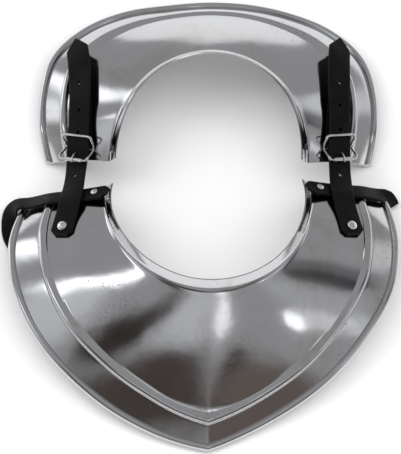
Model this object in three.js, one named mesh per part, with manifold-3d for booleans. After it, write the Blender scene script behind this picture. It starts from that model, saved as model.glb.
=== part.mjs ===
// Steel gorget: a front plate and a back plate joined by two buckled leather straps, lying on a table.
// Lengths are in millimetres. X runs across the shoulders, Y from the front tip to the back, Z up.
import * as THREE from 'three';
import { mergeVertices } from 'three/addons/utils/BufferGeometryUtils.js';
import Module from 'manifold-3d';

const wasm = await Module();
wasm.setup();

// Clearance between pieces that touch on the real object
const gap = 0.3;

// Sheet steel: wall, rolled edge, upright neck collar, raised bead and the bulge of a panel
const sheet = 1.2;
const rollRadius = 3.3;
const collarHeight = 11;
const collarLean = 25;
const filletReach = 3.5;
const beadWidth = 8.5;
const beadHeight = 2.6;
const crown = 4;
const rollSteps = 8;

// Plate outlines: one neck radius, and for each plate its reach, rise at the neck, arch and border
const neckRadius = 84;
const plateSpacing = 48;
const frontReach = 200;
const frontRise = 66;
const frontArch = 24;
const frontBorder = 24;
const backReach = 155;
const backRise = 66;
const backArch = 10;
const backBorder = 21;

// Long straps: section, place, holes and ends
const strapWidth = 19.5;
const strapThickness = 2.5;
const strapFromNeck = 24;
const strapSpread = neckRadius + strapFromNeck;
const strapStart = -26;
const strapRun = 182;
const strapHoleRadius = 1.9;
const strapHolePitch = 18.6;
const strapTipLength = 12;
const strapFreeEnd = 56;
const strapBend = 130;
const strapClipLength = 4;

// Chapes, the doubled leather tabs that hold the buckles
const chapeWidth = 18;
const chapeLayer = 1.6;
const chapeLength = 50;
const chapeCurve = 0.3;
const chapeSlotWidth = 6;

// Arming straps over the shoulder ends
const armingWidth = 15;
const armingThickness = 2.5;
const armingSetback = 9.5;
const armingClipLength = 4;

// Wire buckles with a roller
const wireRadius = 1.0;
const rollerRadius = 1.8;
const tongueRadius = 0.8;
const eyeWall = 1.2;
const rollerShare = 0.62;
const buckleLength = 20;
const buckleHalfWidth = 13;
const buckleAlong = 56;
const buckleShift = 1.2;

// Rivets: head radii, shank, and how far each sits from its strap's end
const strapRivetHead = 4.3;
const armingRivetHead = 3.2;
const chapeRivetHead = 3.2;
const shankRadius = 1.6;
const strapRivetSetback = 8;
const armingRivetSetback = 12;
const chapeRivetSetback = 7;

const steel = new THREE.MeshStandardMaterial({ color: 0xb4b6ba, roughness: 0.2, metalness: 1 });
const leather = new THREE.MeshStandardMaterial({ color: 0x17161a, roughness: 0.5, metalness: 0 });
const nickel = new THREE.MeshStandardMaterial({ color: 0xd6d4ce, roughness: 0.25, metalness: 1 });
const bothFaces = new THREE.MeshBasicMaterial({ side: THREE.DoubleSide });

// Plates. turn runs from the middle (0) to a shoulder end (1). neck is a share of neckRadius, edge of the
// plate's reach, neckUp of its rise, edgeUp of its arch and border of its border. The sweeps are the angles
// of the shoulder ends in degrees. Pairs are [left, right].
const frontPlate = {
  centreY: 0, facing: -1, neckSweep: [104, 106.5], edgeSweep: [99, 102], pointed: true, steps: 18,
  reach: frontReach, rise: frontRise, arch: frontArch, border: frontBorder,
  rows: [
    { turn: 0.00, neck: [0.99, 0.99], neckUp: 1.00, edge: [1.000, 1.000], edgeUp: 0.00 },
    { turn: 0.10, neck: [0.98, 0.99], neckUp: 0.99, edge: [0.972, 0.944], edgeUp: 0.08 },
    { turn: 0.20, neck: [0.97, 1.00], neckUp: 0.98, edge: [0.946, 0.905], edgeUp: 0.24 },
    { turn: 0.35, neck: [0.96, 1.01], neckUp: 0.96, edge: [0.914, 0.870], edgeUp: 0.50 },
    { turn: 0.50, neck: [0.97, 1.01], neckUp: 0.94, edge: [0.894, 0.843], edgeUp: 0.73 },
    { turn: 0.65, neck: [0.98, 1.00], neckUp: 0.89, edge: [0.870, 0.830], edgeUp: 0.86 },
    { turn: 0.80, neck: [1.00, 1.00], neckUp: 0.79, edge: [0.838, 0.794], edgeUp: 0.80 },
    { turn: 0.92, neck: [1.01, 1.01], neckUp: 0.64, edge: [0.790, 0.757], edgeUp: 0.43 },
    { turn: 1.00, neck: [1.02, 1.02], neckUp: 0.51, edge: [0.755, 0.742], edgeUp: 0.00 },
  ],
  borders: [
    { turn: 0.00, border: [0.78, 0.78] },
    { turn: 0.20, border: [1.00, 0.76] },
    { turn: 0.50, border: [1.04, 0.86] },
    { turn: 0.80, border: [1.06, 0.95] },
    { turn: 1.00, border: [0.85, 0.80] },
  ],
};
const backPlate = {
  centreY: plateSpacing, facing: 1, neckSweep: [92.5, 93.5], edgeSweep: [86.5, 87.5], pointed: false, steps: 14,
  reach: backReach, rise: backRise, arch: backArch, border: backBorder,
  rows: [
    { turn: 0.00, neck: [0.97, 0.97], neckUp: 1.00, edge: [0.997, 0.997], edgeUp: 0.00 },
    { turn: 0.15, neck: [0.96, 0.98], neckUp: 0.99, edge: [1.000, 1.005], edgeUp: 0.13 },
    { turn: 0.30, neck: [0.95, 0.98], neckUp: 0.96, edge: [1.033, 1.023], edgeUp: 0.38 },
    { turn: 0.45, neck: [0.945, 0.98], neckUp: 0.94, edge: [1.060, 1.048], edgeUp: 0.68 },
    { turn: 0.60, neck: [0.93, 0.99], neckUp: 0.87, edge: [1.060, 1.051], edgeUp: 0.90 },
    { turn: 0.75, neck: [0.93, 0.98], neckUp: 0.79, edge: [0.996, 0.994], edgeUp: 0.95 },
    { turn: 0.88, neck: [0.945, 0.97], neckUp: 0.66, edge: [0.931, 0.932], edgeUp: 0.80 },
    { turn: 1.00, neck: [0.965, 0.975], neckUp: 0.50, edge: [0.872, 0.876], edgeUp: 0.00 },
  ],
  borders: [
    { turn: 0.00, border: [0.95, 0.95] },
    { turn: 0.60, border: [1.00, 1.00] },
    { turn: 1.00, border: [0.90, 0.90] },
  ],
};

// The bead's rise across its width, from the panel side to the border side
const beadRows = [
  { along: 0.00, up: 0.00 },
  { along: 0.30, up: 0.45 },
  { along: 0.58, up: 0.95 },
  { along: 0.82, up: 0.90 },
  { along: 1.00, up: 0.00 },
];

// Long straps in plan: across is a share of strapSpread, along of strapRun from strapStart
const strapRoutes = {
  left: [
    { across: -1.115, along: 0.00 },
    { across: -1.04, along: 0.19 },
    { across: -1.00, along: 0.355 },
    { across: -0.985, along: 0.51 },
    { across: -0.975, along: 0.70 },
    { across: -0.985, along: 0.86 },
    { across: -1.01, along: 1.00 },
  ],
  right: [
    { across: 1.1, along: 0.00 },
    { across: 1.025, along: 0.19 },
    { across: 1.00, along: 0.355 },
    { across: 1.00, along: 0.51 },
    { across: 1.00, along: 0.70 },
    { across: 1.00, along: 0.86 },
    { across: 1.01, along: 1.00 },
  ],
};

// Punched holes of each strap, counted in pitches from the one that the tongue is in
const strapHoles = { left: [-1, 1, 2, 3.3], right: [-1, 1.1, 2.2, 3.3] };

// Each side's own lean of the buckle, in degrees, and how the arming strap falls past the plate's corner:
// out, along and up are multiples of armingWidth from the corner, tilt is the strap's roll in degrees.
// The left strap slides along the rim and tucks in under it; the right one goes straight down.
const sides = {
  left: {
    sign: -1, buckleLean: 16,
    fall: [
      { out: 0.66, along: -0.50, up: 0.95, tilt: 38 },
      { out: 1.10, along: -0.80, up: 0.62, tilt: 34 },
      { out: 1.16, along: -1.40, up: 0.30, tilt: 18 },
      { out: 1.08, along: -2.20, up: 0.12, tilt: 0 },
      { out: 0.50, along: -3.10, up: 0.10, tilt: 0 },
      { out: -0.35, along: -3.75, up: 0.10, tilt: 0 },
    ],
  },
  right: {
    sign: 1, buckleLean: -13,
    fall: [
      { out: 0.52, along: -0.60, up: 0.84, tilt: 32 },
      { out: 0.80, along: -0.52, up: 0.56, tilt: 32 },
      { out: 0.88, along: -0.48, up: 0.28, tilt: 18 },
    ],
  },
};

// One side of the buckle's wire, from the middle of the keeper bar to the middle of the roller bar:
// along is a share of half buckleLength, across of buckleHalfWidth
const buckleRows = [
  { along: 1.00, across: 0.00 },
  { along: 1.00, across: 0.40 },
  { along: 1.00, across: 0.74 },
  { along: 0.88, across: 0.96 },
  { along: 0.66, across: 1.00 },
  { along: 0.30, across: 0.97 },
  { along: -0.10, across: 0.95 },
  { along: -0.45, across: 0.96 },
  { along: -0.78, across: 0.96 },
  { along: -0.95, across: 0.88 },
  { along: -1.00, across: 0.76 },
  { along: -1.00, across: 0.35 },
  { along: -1.00, across: 0.00 },
];

const radians = (degrees) => THREE.MathUtils.degToRad(degrees);

// Smooth value at x through knots of [x, value], with the slopes of their neighbours
function smoothValue(knots, x) {
  const slope = (i) => {
    const before = knots[Math.max(i - 1, 0)];
    const after = knots[Math.min(i + 1, knots.length - 1)];
    return (after[1] - before[1]) / (after[0] - before[0]);
  };
  let i = 0;
  while (i < knots.length - 2 && x > knots[i + 1][0]) i += 1;
  const [x0, y0] = knots[i];
  const [x1, y1] = knots[i + 1];
  const span = x1 - x0;
  const s = THREE.MathUtils.clamp((x - x0) / span, 0, 1);
  const rise = y1 - y0;
  const a = slope(i) * span - rise;
  const b = rise - slope(i + 1) * span;
  return y0 + s * rise + s * (1 - s) * (a * (1 - s) + b * s);
}

// A column of a plate's table at a turn from -1 (left end) to 1 (right end). A cornered column meets its
// mirror image at a point in the middle; any other runs on smoothly.
function columnValue(rows, name, turn, cornered = false) {
  const side = turn < 0 ? 0 : 1;
  const read = (row, k) => (Array.isArray(row[name]) ? row[name][k] : row[name]);
  const knots = rows.map((row) => [row.turn, read(row, side)]);
  if (!cornered) knots.unshift([-rows[1].turn, read(rows[1], 1 - side)]);
  return smoothValue(knots, Math.abs(turn));
}

// Where a plate's section starts at the neck and ends at the middle of its rolled edge
function plateStation(plate, turn) {
  const side = turn < 0 ? 0 : 1;
  const place = (sweep, radius, height) => {
    const angle = radians(sweep[side] * turn);
    const y = plate.centreY + plate.facing * radius * Math.cos(angle);
    return new THREE.Vector3(radius * Math.sin(angle), y, height);
  };
  const { rows, borders, pointed } = plate;
  const neckHeight = plate.rise * columnValue(rows, 'neckUp', turn);
  const neck = place(plate.neckSweep, neckRadius * columnValue(rows, 'neck', turn), neckHeight);
  const edgeHeight = rollRadius + plate.arch * columnValue(rows, 'edgeUp', turn, pointed);
  const edgeReach = plate.reach * columnValue(rows, 'edge', turn, pointed) - rollRadius;
  const edge = place(plate.edgeSweep, edgeReach, edgeHeight);
  const border = plate.border * columnValue(borders, 'border', turn);
  return { neck, edge, border };
}

// The middle of the sheet from the collar's rim to the rolled edge, in the section's own plane:
// x outward from the neck, y up
function sheetMiddle(length, slope, border) {
  const reach = length - rollRadius;
  const bulge = (a) => (4 * crown * a * (reach - a)) / (reach * reach);
  const onPanel = (a, up = 0) => {
    const h = bulge(a) + up;
    const x = a * Math.cos(slope) + h * Math.sin(slope);
    const y = h * Math.cos(slope) - a * Math.sin(slope);
    return new THREE.Vector2(x, y);
  };
  const lean = radians(collarLean);
  const onCollar = (a) => new THREE.Vector2(-a * Math.sin(lean), a * Math.cos(lean));
  const points = [onCollar(collarHeight)];
  const fillet = new THREE.QuadraticBezierCurve(onCollar(filletReach), onPanel(0), onPanel(filletReach));
  points.push(...fillet.getPoints(3));
  const beadStart = length - border - beadWidth;
  for (const share of [1 / 3, 2 / 3]) {
    points.push(onPanel(THREE.MathUtils.lerp(filletReach, beadStart, share)));
  }
  for (const row of beadRows) {
    points.push(onPanel(beadStart + beadWidth * row.along, beadHeight * row.up));
  }
  points.push(onPanel(length - border / 2 - rollRadius / 2));
  points.push(onPanel(reach));
  return points;
}

// Offsets an open line in its plane to both sides, mitred at its corners
function offsetLine(points, distance) {
  return points.map((point, i) => {
    const before = points[Math.max(i - 1, 0)];
    const after = points[Math.min(i + 1, points.length - 1)];
    const into = point.clone().sub(before).normalize();
    const outOf = after.clone().sub(point).normalize();
    const tangent = into.clone().add(outOf).normalize();
    const reference = i === 0 ? outOf : into;
    const mitre = 1 / Math.max(tangent.dot(reference), 0.6);
    return new THREE.Vector2(-tangent.y, tangent.x).multiplyScalar(distance * mitre).add(point);
  });
}

// The closed outline of the sheet with its rolled edge, and its points in space
function plateSection(plate, turn) {
  const { neck, edge, border } = plateStation(plate, turn);
  const flat = new THREE.Vector2(edge.x - neck.x, edge.y - neck.y);
  const run = flat.length();
  const drop = neck.z - edge.z;
  const slope = Math.atan2(drop, run);
  const middle = sheetMiddle(Math.hypot(run, drop), slope, border);
  const upper = offsetLine(middle, sheet / 2);
  const under = offsetLine(middle, -sheet / 2);
  const join = Math.PI - Math.asin(sheet / 2 / rollRadius);
  const roll = [];
  for (let i = 1; i < rollSteps; i += 1) {
    const angle = join - (2 * join * i) / rollSteps - slope;
    roll.push(new THREE.Vector2(run + rollRadius * Math.cos(angle), rollRadius * Math.sin(angle) - drop));
  }
  const outline = [...upper, ...roll, ...under.reverse()];
  const outward = flat.normalize();
  const points = outline.map((p) => {
    const x = neck.x + p.x * outward.x;
    const y = neck.y + p.x * outward.y;
    return new THREE.Vector3(x, y, neck.z + p.y);
  });
  return { outline, points };
}

// Triangles that fill a closed flat outline, turned the way the outline runs
function fillOutline(outline) {
  const forward = THREE.ShapeUtils.area(outline) > 0;
  return THREE.ShapeUtils.triangulateShape(outline, []).map(([a, b, c]) => {
    const positive = THREE.ShapeUtils.area([outline[a], outline[b], outline[c]]) > 0;
    return positive === forward ? [a, b, c] : [a, c, b];
  });
}

// A closed body swept through loops of equal length; without ends the last loop joins the first
function sweepBody(loops, startOutline, endOutline) {
  const count = loops[0].length;
  const positions = loops.flat().flatMap((p) => [p.x, p.y, p.z]);
  const index = [];
  const lastLoop = startOutline ? loops.length - 1 : loops.length;
  for (let i = 0; i < lastLoop; i += 1) {
    const here = i * count;
    const next = ((i + 1) % loops.length) * count;
    for (let j = 0; j < count; j += 1) {
      const k = (j + 1) % count;
      index.push(here + j, here + k, next + k, here + j, next + k, next + j);
    }
  }
  if (startOutline) {
    const last = (loops.length - 1) * count;
    for (const [a, b, c] of fillOutline(startOutline)) index.push(a, c, b);
    for (const [a, b, c] of fillOutline(endOutline)) index.push(last + a, last + b, last + c);
  }
  const geometry = new THREE.BufferGeometry();
  geometry.setAttribute('position', new THREE.Float32BufferAttribute(positions, 3));
  geometry.setIndex(index);
  return faceOutward(geometry);
}

// Turns a closed geometry's faces outward
function faceOutward(geometry) {
  const position = geometry.getAttribute('position');
  const index = Array.from(geometry.index.array);
  const corner = [0, 1, 2].map(() => new THREE.Vector3());
  let volume = 0;
  for (let i = 0; i < index.length; i += 3) {
    corner.forEach((v, k) => v.fromBufferAttribute(position, index[i + k]));
    volume += corner[0].dot(corner[1].clone().cross(corner[2]));
  }
  if (volume < 0) {
    for (let i = 0; i < index.length; i += 3) [index[i + 1], index[i + 2]] = [index[i + 2], index[i + 1]];
    geometry.setIndex(index);
  }
  return geometry;
}

// Booleans
function toSolid(geometry) {
  const bare = geometry.clone();
  bare.deleteAttribute('normal');
  bare.deleteAttribute('uv');
  const merged = mergeVertices(bare, 1e-4);
  const vertProperties = new Float32Array(merged.getAttribute('position').array);
  const triVerts = new Uint32Array(merged.index.array);
  return new wasm.Manifold(new wasm.Mesh({ numProp: 3, vertProperties, triVerts }));
}

function toGeometry(solid) {
  const mesh = solid.getMesh();
  const geometry = new THREE.BufferGeometry();
  geometry.setAttribute('position', new THREE.Float32BufferAttribute(Array.from(mesh.vertProperties), 3));
  geometry.setIndex(Array.from(mesh.triVerts));
  return geometry;
}

function cutAway(geometry, cutters) {
  let solid = toSolid(geometry);
  for (const cutter of cutters) solid = solid.subtract(toSolid(cutter));
  return toGeometry(solid);
}

function joinAll(geometries) {
  let solid = toSolid(geometries[0]);
  for (const other of geometries.slice(1)) solid = solid.add(toSolid(other));
  return toGeometry(solid);
}

// A round bar between two points
const cylinderAxis = new THREE.Vector3(0, 1, 0);
function barBetween(start, end, radius, segments = 10) {
  const direction = end.clone().sub(start);
  const geometry = new THREE.CylinderGeometry(radius, radius, direction.length(), segments);
  const turn = new THREE.Quaternion().setFromUnitVectors(cylinderAxis, direction.clone().normalize());
  geometry.applyQuaternion(turn);
  const middle = start.clone().add(end).multiplyScalar(0.5);
  return geometry.translate(middle.x, middle.y, middle.z);
}

// A turned body whose profile of [radius, height] stands on a point along a direction
function turnedAt(profile, point, direction, segments = 10) {
  const outline = profile.map(([r, h]) => new THREE.Vector2(r, h));
  const geometry = new THREE.LatheGeometry(outline, segments);
  geometry.applyQuaternion(new THREE.Quaternion().setFromUnitVectors(cylinderAxis, direction));
  return faceOutward(mergeClosed(geometry.translate(point.x, point.y, point.z)));
}

function mergeClosed(geometry) {
  geometry.deleteAttribute('normal');
  geometry.deleteAttribute('uv');
  return mergeVertices(geometry, 1e-4);
}

// A wire bent along closed or open points
const skyward = new THREE.Vector3(0, 0, 1);
function wireAlong(points, radius, closed, segments = 6) {
  const curve = new THREE.CatmullRomCurve3(points, closed, 'centripetal');
  const count = points.length;
  const circle = Array.from({ length: segments }, (_, j) => {
    const angle = (2 * Math.PI * j) / segments;
    return new THREE.Vector2(Math.cos(angle), Math.sin(angle));
  });
  const loops = [];
  const total = closed ? count : count - 1;
  for (let i = 0; i < count; i += 1) {
    const tangent = curve.getTangent(i / total);
    const side = new THREE.Vector3().crossVectors(tangent, skyward).normalize();
    const up = new THREE.Vector3().crossVectors(side, tangent);
    const loop = circle.map((p) => {
      const point = points[i].clone().addScaledVector(side, radius * p.x);
      return point.addScaledVector(up, radius * p.y);
    });
    loops.push(loop);
  }
  if (closed) return sweepBody(loops);
  return sweepBody(loops, circle, circle);
}

// Height of the highest surface under a plan point, or null where there is none
const caster = new THREE.Raycaster();
const down = new THREE.Vector3(0, 0, -1);
const castFrom = 3 * Math.max(frontRise, backRise);
function heightAt(meshes, x, y) {
  caster.set(new THREE.Vector3(x, y, castFrom), down);
  const hits = caster.intersectObjects(meshes, false);
  return hits.length ? hits[0].point.z : null;
}

// Lays a strap over supports along plan points. Each station gets its middle, its run, its across
// direction and its up direction; between supports the strap bridges.
const restGap = 2.2 * gap;
function laySoft(planPoints, width, thickness, supports, count, freeEnd = 0) {
  const curve = new THREE.CatmullRomCurve3(planPoints, false, 'centripetal');
  const samples = 8;
  const offsets = Array.from({ length: samples + 1 }, (_, k) => (k / samples - 0.5) * width);
  const rows = [];
  for (let i = 0; i <= 2 * count; i += 1) {
    const spot = curve.getPointAt(i / (2 * count));
    const run = curve.getTangentAt(i / (2 * count)).setZ(0).normalize();
    const across = new THREE.Vector3(run.y, -run.x, 0);
    const heights = offsets.map((d) => heightAt(supports, spot.x + across.x * d, spot.y + across.y * d));
    const full = heights.every((h) => h !== null);
    rows.push({ spot, across, heights, tilt: full ? (heights[samples] - heights[0]) / width : null });
  }
  bridge(rows, 'tilt');
  relax(rows, 'tilt', 10);
  for (const row of rows) {
    const levels = row.heights.map((h, k) => (h === null ? null : h - row.tilt * offsets[k]));
    const known = levels.filter((h) => h !== null);
    row.floor = known.length ? Math.max(...known) + restGap : null;
    row.level = row.floor;
  }
  bridge(rows, 'level');
  for (let pass = 0; pass < 40; pass += 1) {
    relax(rows, 'level', 1);
    for (let i = 0; i < rows.length; i += 2) liftOff(rows, i);
    for (let i = 1; i < rows.length; i += 2) {
      rows[i].level = (rows[i - 1].level + rows[i + 1].level) / 2;
      const lack = rows[i].floor === null ? 0 : Math.max(rows[i].floor - rows[i].level, 0);
      for (const k of [i - 1, i, i + 1]) rows[k].level += lack;
    }
  }
  stiffenEnd(rows, freeEnd, curve.getLength() / (2 * count));
  const kept = rows.filter((_, i) => i % 2 === 0);
  return kept.map((row, i) => {
    const before = kept[Math.max(i - 1, 0)];
    const after = kept[Math.min(i + 1, kept.length - 1)];
    const from = before.spot.clone().setZ(before.level);
    const run = after.spot.clone().setZ(after.level).sub(from).normalize();
    const across = row.across.clone().setZ(row.tilt).normalize();
    const up = new THREE.Vector3().crossVectors(across, run).normalize();
    const middle = row.spot.clone().setZ(row.level).addScaledVector(up, thickness / 2);
    return { middle, run, across, up };
  });
}

// A free end runs on from its last support, and bends down only as a stiff strap can
function stiffenEnd(rows, freeEnd, step) {
  const first = rows.length - Math.round(freeEnd / step);
  for (let i = first; i < rows.length; i += 1) {
    const slope = (rows[i - 1].level - rows[i - 2].level) / step - step / strapBend;
    rows[i].level = Math.max(rows[i].level, rows[i - 1].level + step * slope);
  }
}

function liftOff(rows, i) {
  if (rows[i].floor !== null) rows[i].level = Math.max(rows[i].level, rows[i].floor);
}

// Fills the missing values of a column from its neighbours
function bridge(rows, name) {
  const known = rows.map((row, i) => (row[name] === null ? -1 : i)).filter((i) => i >= 0);
  rows.forEach((row, i) => {
    if (row[name] !== null) return;
    const before = known.filter((k) => k < i).pop() ?? known[0];
    const after = known.find((k) => k > i) ?? known[known.length - 1];
    const share = after === before ? 0 : (i - before) / (after - before);
    row[name] = THREE.MathUtils.lerp(rows[before][name], rows[after][name], share);
  });
}

// Evens a column out
function relax(rows, name, passes) {
  for (let pass = 0; pass < passes; pass += 1) {
    const old = rows.map((row) => row[name]);
    for (let i = 1; i < rows.length - 1; i += 1) rows[i][name] = (old[i - 1] + 2 * old[i] + old[i + 1]) / 4;
  }
}

// Distance run along stations, and a station at a distance
function runLengths(stations) {
  let total = 0;
  return stations.map((station, i) => {
    if (i) total += station.middle.distanceTo(stations[i - 1].middle);
    return total;
  });
}

function stationAt(stations, distance) {
  const lengths = runLengths(stations);
  let i = 0;
  while (i < stations.length - 2 && lengths[i + 1] < distance) i += 1;
  const share = (distance - lengths[i]) / (lengths[i + 1] - lengths[i]);
  const mix = (name) => stations[i][name].clone().lerp(stations[i + 1][name], share);
  const middle = mix('middle');
  const run = mix('run').normalize();
  const across = mix('across').normalize();
  const up = mix('up').normalize();
  return { middle, run, across, up };
}

// The width share of a strap's end whose corners are clipped
function clippedEnd(fromEnd, clipLength) {
  const narrowest = 0.6;
  return Math.min(narrowest + ((1 - narrowest) * fromEnd) / clipLength, 1);
}

// The width share of a strap's pointed tip
function pointedTip(fromEnd, tipLength) {
  const narrowest = 0.08;
  return Math.min(narrowest + ((1 - narrowest) * fromEnd) / tipLength, 1);
}

// A flat strap swept through stations; widthShare gives its width at a distance from start and end
function strapBody(stations, width, thickness, widthShare = () => 1) {
  const bevel = thickness * 0.2;
  const lengths = runLengths(stations);
  const total = lengths[lengths.length - 1];
  let outline = [];
  const loops = stations.map((station, i) => {
    const half = (width / 2) * widthShare(lengths[i], total - lengths[i]);
    const high = thickness / 2;
    outline = [
      [half, -high + bevel], [half, high - bevel], [half - bevel, high], [-half + bevel, high],
      [-half, high - bevel], [-half, -high + bevel], [-half + bevel, -high], [half - bevel, -high],
    ].map(([x, y]) => new THREE.Vector2(x, y));
    return outline.map((p) => {
      const point = station.middle.clone().addScaledVector(station.across, p.x);
      return point.addScaledVector(station.up, p.y);
    });
  });
  return sweepBody(loops, outline, outline);
}

// A domed rivet through a strap into a plate, and the bore that clears its shank
function makeRivet(station, thickness, headRadius, plateMesh) {
  const top = station.middle.clone().addScaledVector(station.up, thickness / 2 + gap);
  const inward = station.up.clone().negate();
  caster.set(top, inward);
  const hits = caster.intersectObject(plateMesh, false);
  const depth = hits[1].distance + 2 * gap;
  const headRise = headRadius * 0.5;
  const tailRadius = shankRadius * 1.9;
  const tailRise = shankRadius * 0.7;
  const profile = [
    [0, -depth - tailRise],
    [tailRadius * 0.7, -depth - tailRise],
    [tailRadius, -depth],
    [shankRadius, -depth],
    [shankRadius, 0],
    [headRadius, 0],
    [headRadius * 0.92, headRise * 0.45],
    [headRadius * 0.6, headRise * 0.85],
    [0, headRise],
  ];
  const rivet = turnedAt(profile, top, station.up);
  const deep = top.clone().addScaledVector(inward, depth + tailRadius);
  const bore = barBetween(top, deep, shankRadius + gap);
  return { rivet, bore };
}

// Named meshes
const gorget = new THREE.Group();
function addPiece(name, geometry, material) {
  const mesh = new THREE.Mesh(geometry, material);
  mesh.name = name;
  gorget.add(mesh);
  return mesh;
}

function makePlate(plate) {
  const sections = [];
  for (let i = -plate.steps; i <= plate.steps; i += 1) sections.push(plateSection(plate, i / plate.steps));
  const loops = sections.map((section) => section.points);
  return sweepBody(loops, sections[0].outline, sections[sections.length - 1].outline);
}

// The arming strap lies along the shoulder end, falls past the corner and tucks in under the edge
function makeArmingStrap(side, plateMesh) {
  const { sign, fall } = sides[side];
  const { neck, edge } = plateStation(frontPlate, sign);
  const start = neck.clone().lerp(edge, -0.02);
  const end = neck.clone().lerp(edge, 1.06);
  const plan = [0, 0.33, 0.67, 1].map((share) => {
    const spot = start.clone().lerp(end, share);
    return new THREE.Vector3(spot.x, spot.y - armingSetback, 0);
  });
  const laid = laySoft(plan, armingWidth, armingThickness, [plateMesh], 10);
  const corner = new THREE.Vector3(edge.x, edge.y, 0);
  const tail = fall.map((row) => {
    const away = new THREE.Vector3(sign * row.out, row.along, row.up);
    return away.multiplyScalar(armingWidth).add(corner);
  });
  const lead = laid[laid.length - 1];
  const leadIn = laid[laid.length - 3].middle;
  const curve = new THREE.CatmullRomCurve3([leadIn, lead.middle, ...tail], false, 'centripetal');
  const leadTilt = THREE.MathUtils.radToDeg(Math.asin(lead.across.z));
  const tilts = [leadTilt, leadTilt, ...fall.map((row) => sign * row.tilt)].map((tilt, i) => [i, tilt]);
  const steps = 3 * fall.length;
  const stations = laid.slice(0, -1);
  for (let i = 0; i <= steps; i += 1) {
    const at = 1 + (i / steps) * tail.length;
    const middle = curve.getPoint(at / (tail.length + 1));
    const run = curve.getTangent(at / (tail.length + 1));
    const level = new THREE.Vector3(run.y, -run.x, 0).normalize();
    const tilt = radians(smoothValue(tilts, at));
    const lift = new THREE.Vector3().crossVectors(level, run).normalize();
    const across = level.multiplyScalar(Math.cos(tilt)).addScaledVector(lift, Math.sin(tilt));
    const up = new THREE.Vector3().crossVectors(across, run).normalize();
    stations.push({ middle, run, across, up });
  }
  return stations;
}

// The bar's place and directions for one buckle: run towards the back, across to the side, up
function buckleFrame(side, plateMesh) {
  const { sign, buckleLean } = sides[side];
  const share = (buckleAlong - strapStart) / strapRun;
  const knots = strapRoutes[side].map((row) => [row.along, row.across]);
  const x = strapSpread * smoothValue(knots, share) + sign * buckleShift;
  const lean = radians(buckleLean);
  const run = new THREE.Vector3(Math.sin(lean), Math.cos(lean), 0);
  const across = new THREE.Vector3(run.y, -run.x, 0);
  const middle = new THREE.Vector3(x, buckleAlong, 0);
  const ring = wireRadius + gap + chapeLayer;
  const height = (d, a) => {
    const spot = middle.clone().addScaledVector(across, d).addScaledVector(run, a);
    return heightAt([plateMesh], spot.x, spot.y);
  };
  const half = chapeWidth / 2;
  const tilt = (height(half, 0) - height(-half, 0)) / chapeWidth;
  const pitch = (height(0, half) - height(0, 0)) / half;
  across.setZ(tilt).normalize();
  run.setZ(pitch).normalize();
  const up = new THREE.Vector3().crossVectors(across, run).normalize();
  run.crossVectors(up, across).normalize();
  const levels = [-1, 0, 1].map((k) => height(k * half, 0) - k * half * tilt);
  const barRise = ring + 2 * gap;
  const strapRise = barRise + ring + 1.5 * gap + strapThickness / 2;
  middle.setZ(Math.max(...levels) + strapRise / up.z).addScaledVector(up, barRise - strapRise);
  return { sign, middle, run, across, up, ring };
}

// The chape loops round the bar and runs back under the long strap, doubled and riveted
function makeChape(bar, plateMesh) {
  const start = bar.middle.clone().setZ(0);
  const heading = bar.run.clone().setZ(0).normalize();
  const plan = [0, 0.4, 0.75, 1].map((share) => {
    const spot = start.clone().addScaledVector(heading, chapeLength * share);
    spot.x += bar.sign * chapeWidth * chapeCurve * share * share;
    return spot;
  });
  const thickness = 2 * chapeLayer;
  const stations = laySoft(plan, chapeWidth, thickness, [plateMesh], 10);
  const clip = (_, fromEnd) => clippedEnd(fromEnd, strapClipLength);
  const tab = strapBody(stations, chapeWidth, thickness, clip);
  const half = bar.across.clone().multiplyScalar(chapeWidth / 2);
  const left = bar.middle.clone().sub(half);
  const right = bar.middle.clone().add(half);
  const loop = barBetween(left, right, bar.ring, 12);
  const bore = barBetween(left.clone().sub(half), right.clone().add(half), wireRadius + gap);
  const slot = new THREE.BoxGeometry(chapeSlotWidth, 4 * bar.ring, 6 * bar.ring);
  slot.applyMatrix4(new THREE.Matrix4().makeBasis(bar.across, bar.run, bar.up).setPosition(bar.middle));
  return { stations, geometry: cutAway(joinAll([tab, loop]), [bore, slot]) };
}

// Highest point of the strap over a line across the buckle, measured from the bar along its up direction
function strapTopOver(bar, stations, along, reach) {
  let top = -Infinity;
  const steps = 4 * stations.length;
  const total = runLengths(stations)[stations.length - 1];
  for (let i = 0; i <= steps; i += 1) {
    const station = stationAt(stations, (total * i) / steps);
    for (const d of [-0.5, 0, 0.5]) {
      const point = station.middle.clone().addScaledVector(station.across, strapWidth * d);
      point.addScaledVector(station.up, strapThickness / 2).sub(bar.middle);
      if (Math.abs(point.dot(bar.run) - along) < reach) top = Math.max(top, point.dot(bar.up));
    }
  }
  return top;
}

// A point in the buckle's own directions, from the middle of its centre bar
function inBuckle(bar, along, across, up) {
  const point = bar.middle.clone().addScaledVector(bar.run, along);
  return point.addScaledVector(bar.across, across).addScaledVector(bar.up, up);
}

// A ring of rectangular section about a point on its axis
function ringAt(middle, axis, inner, outer, width) {
  const start = middle.clone().addScaledVector(axis, -width / 2);
  const profile = [[inner, 0], [outer, 0], [outer, width], [inner, width], [inner, 0]];
  return turnedAt(profile, start, axis);
}

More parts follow.
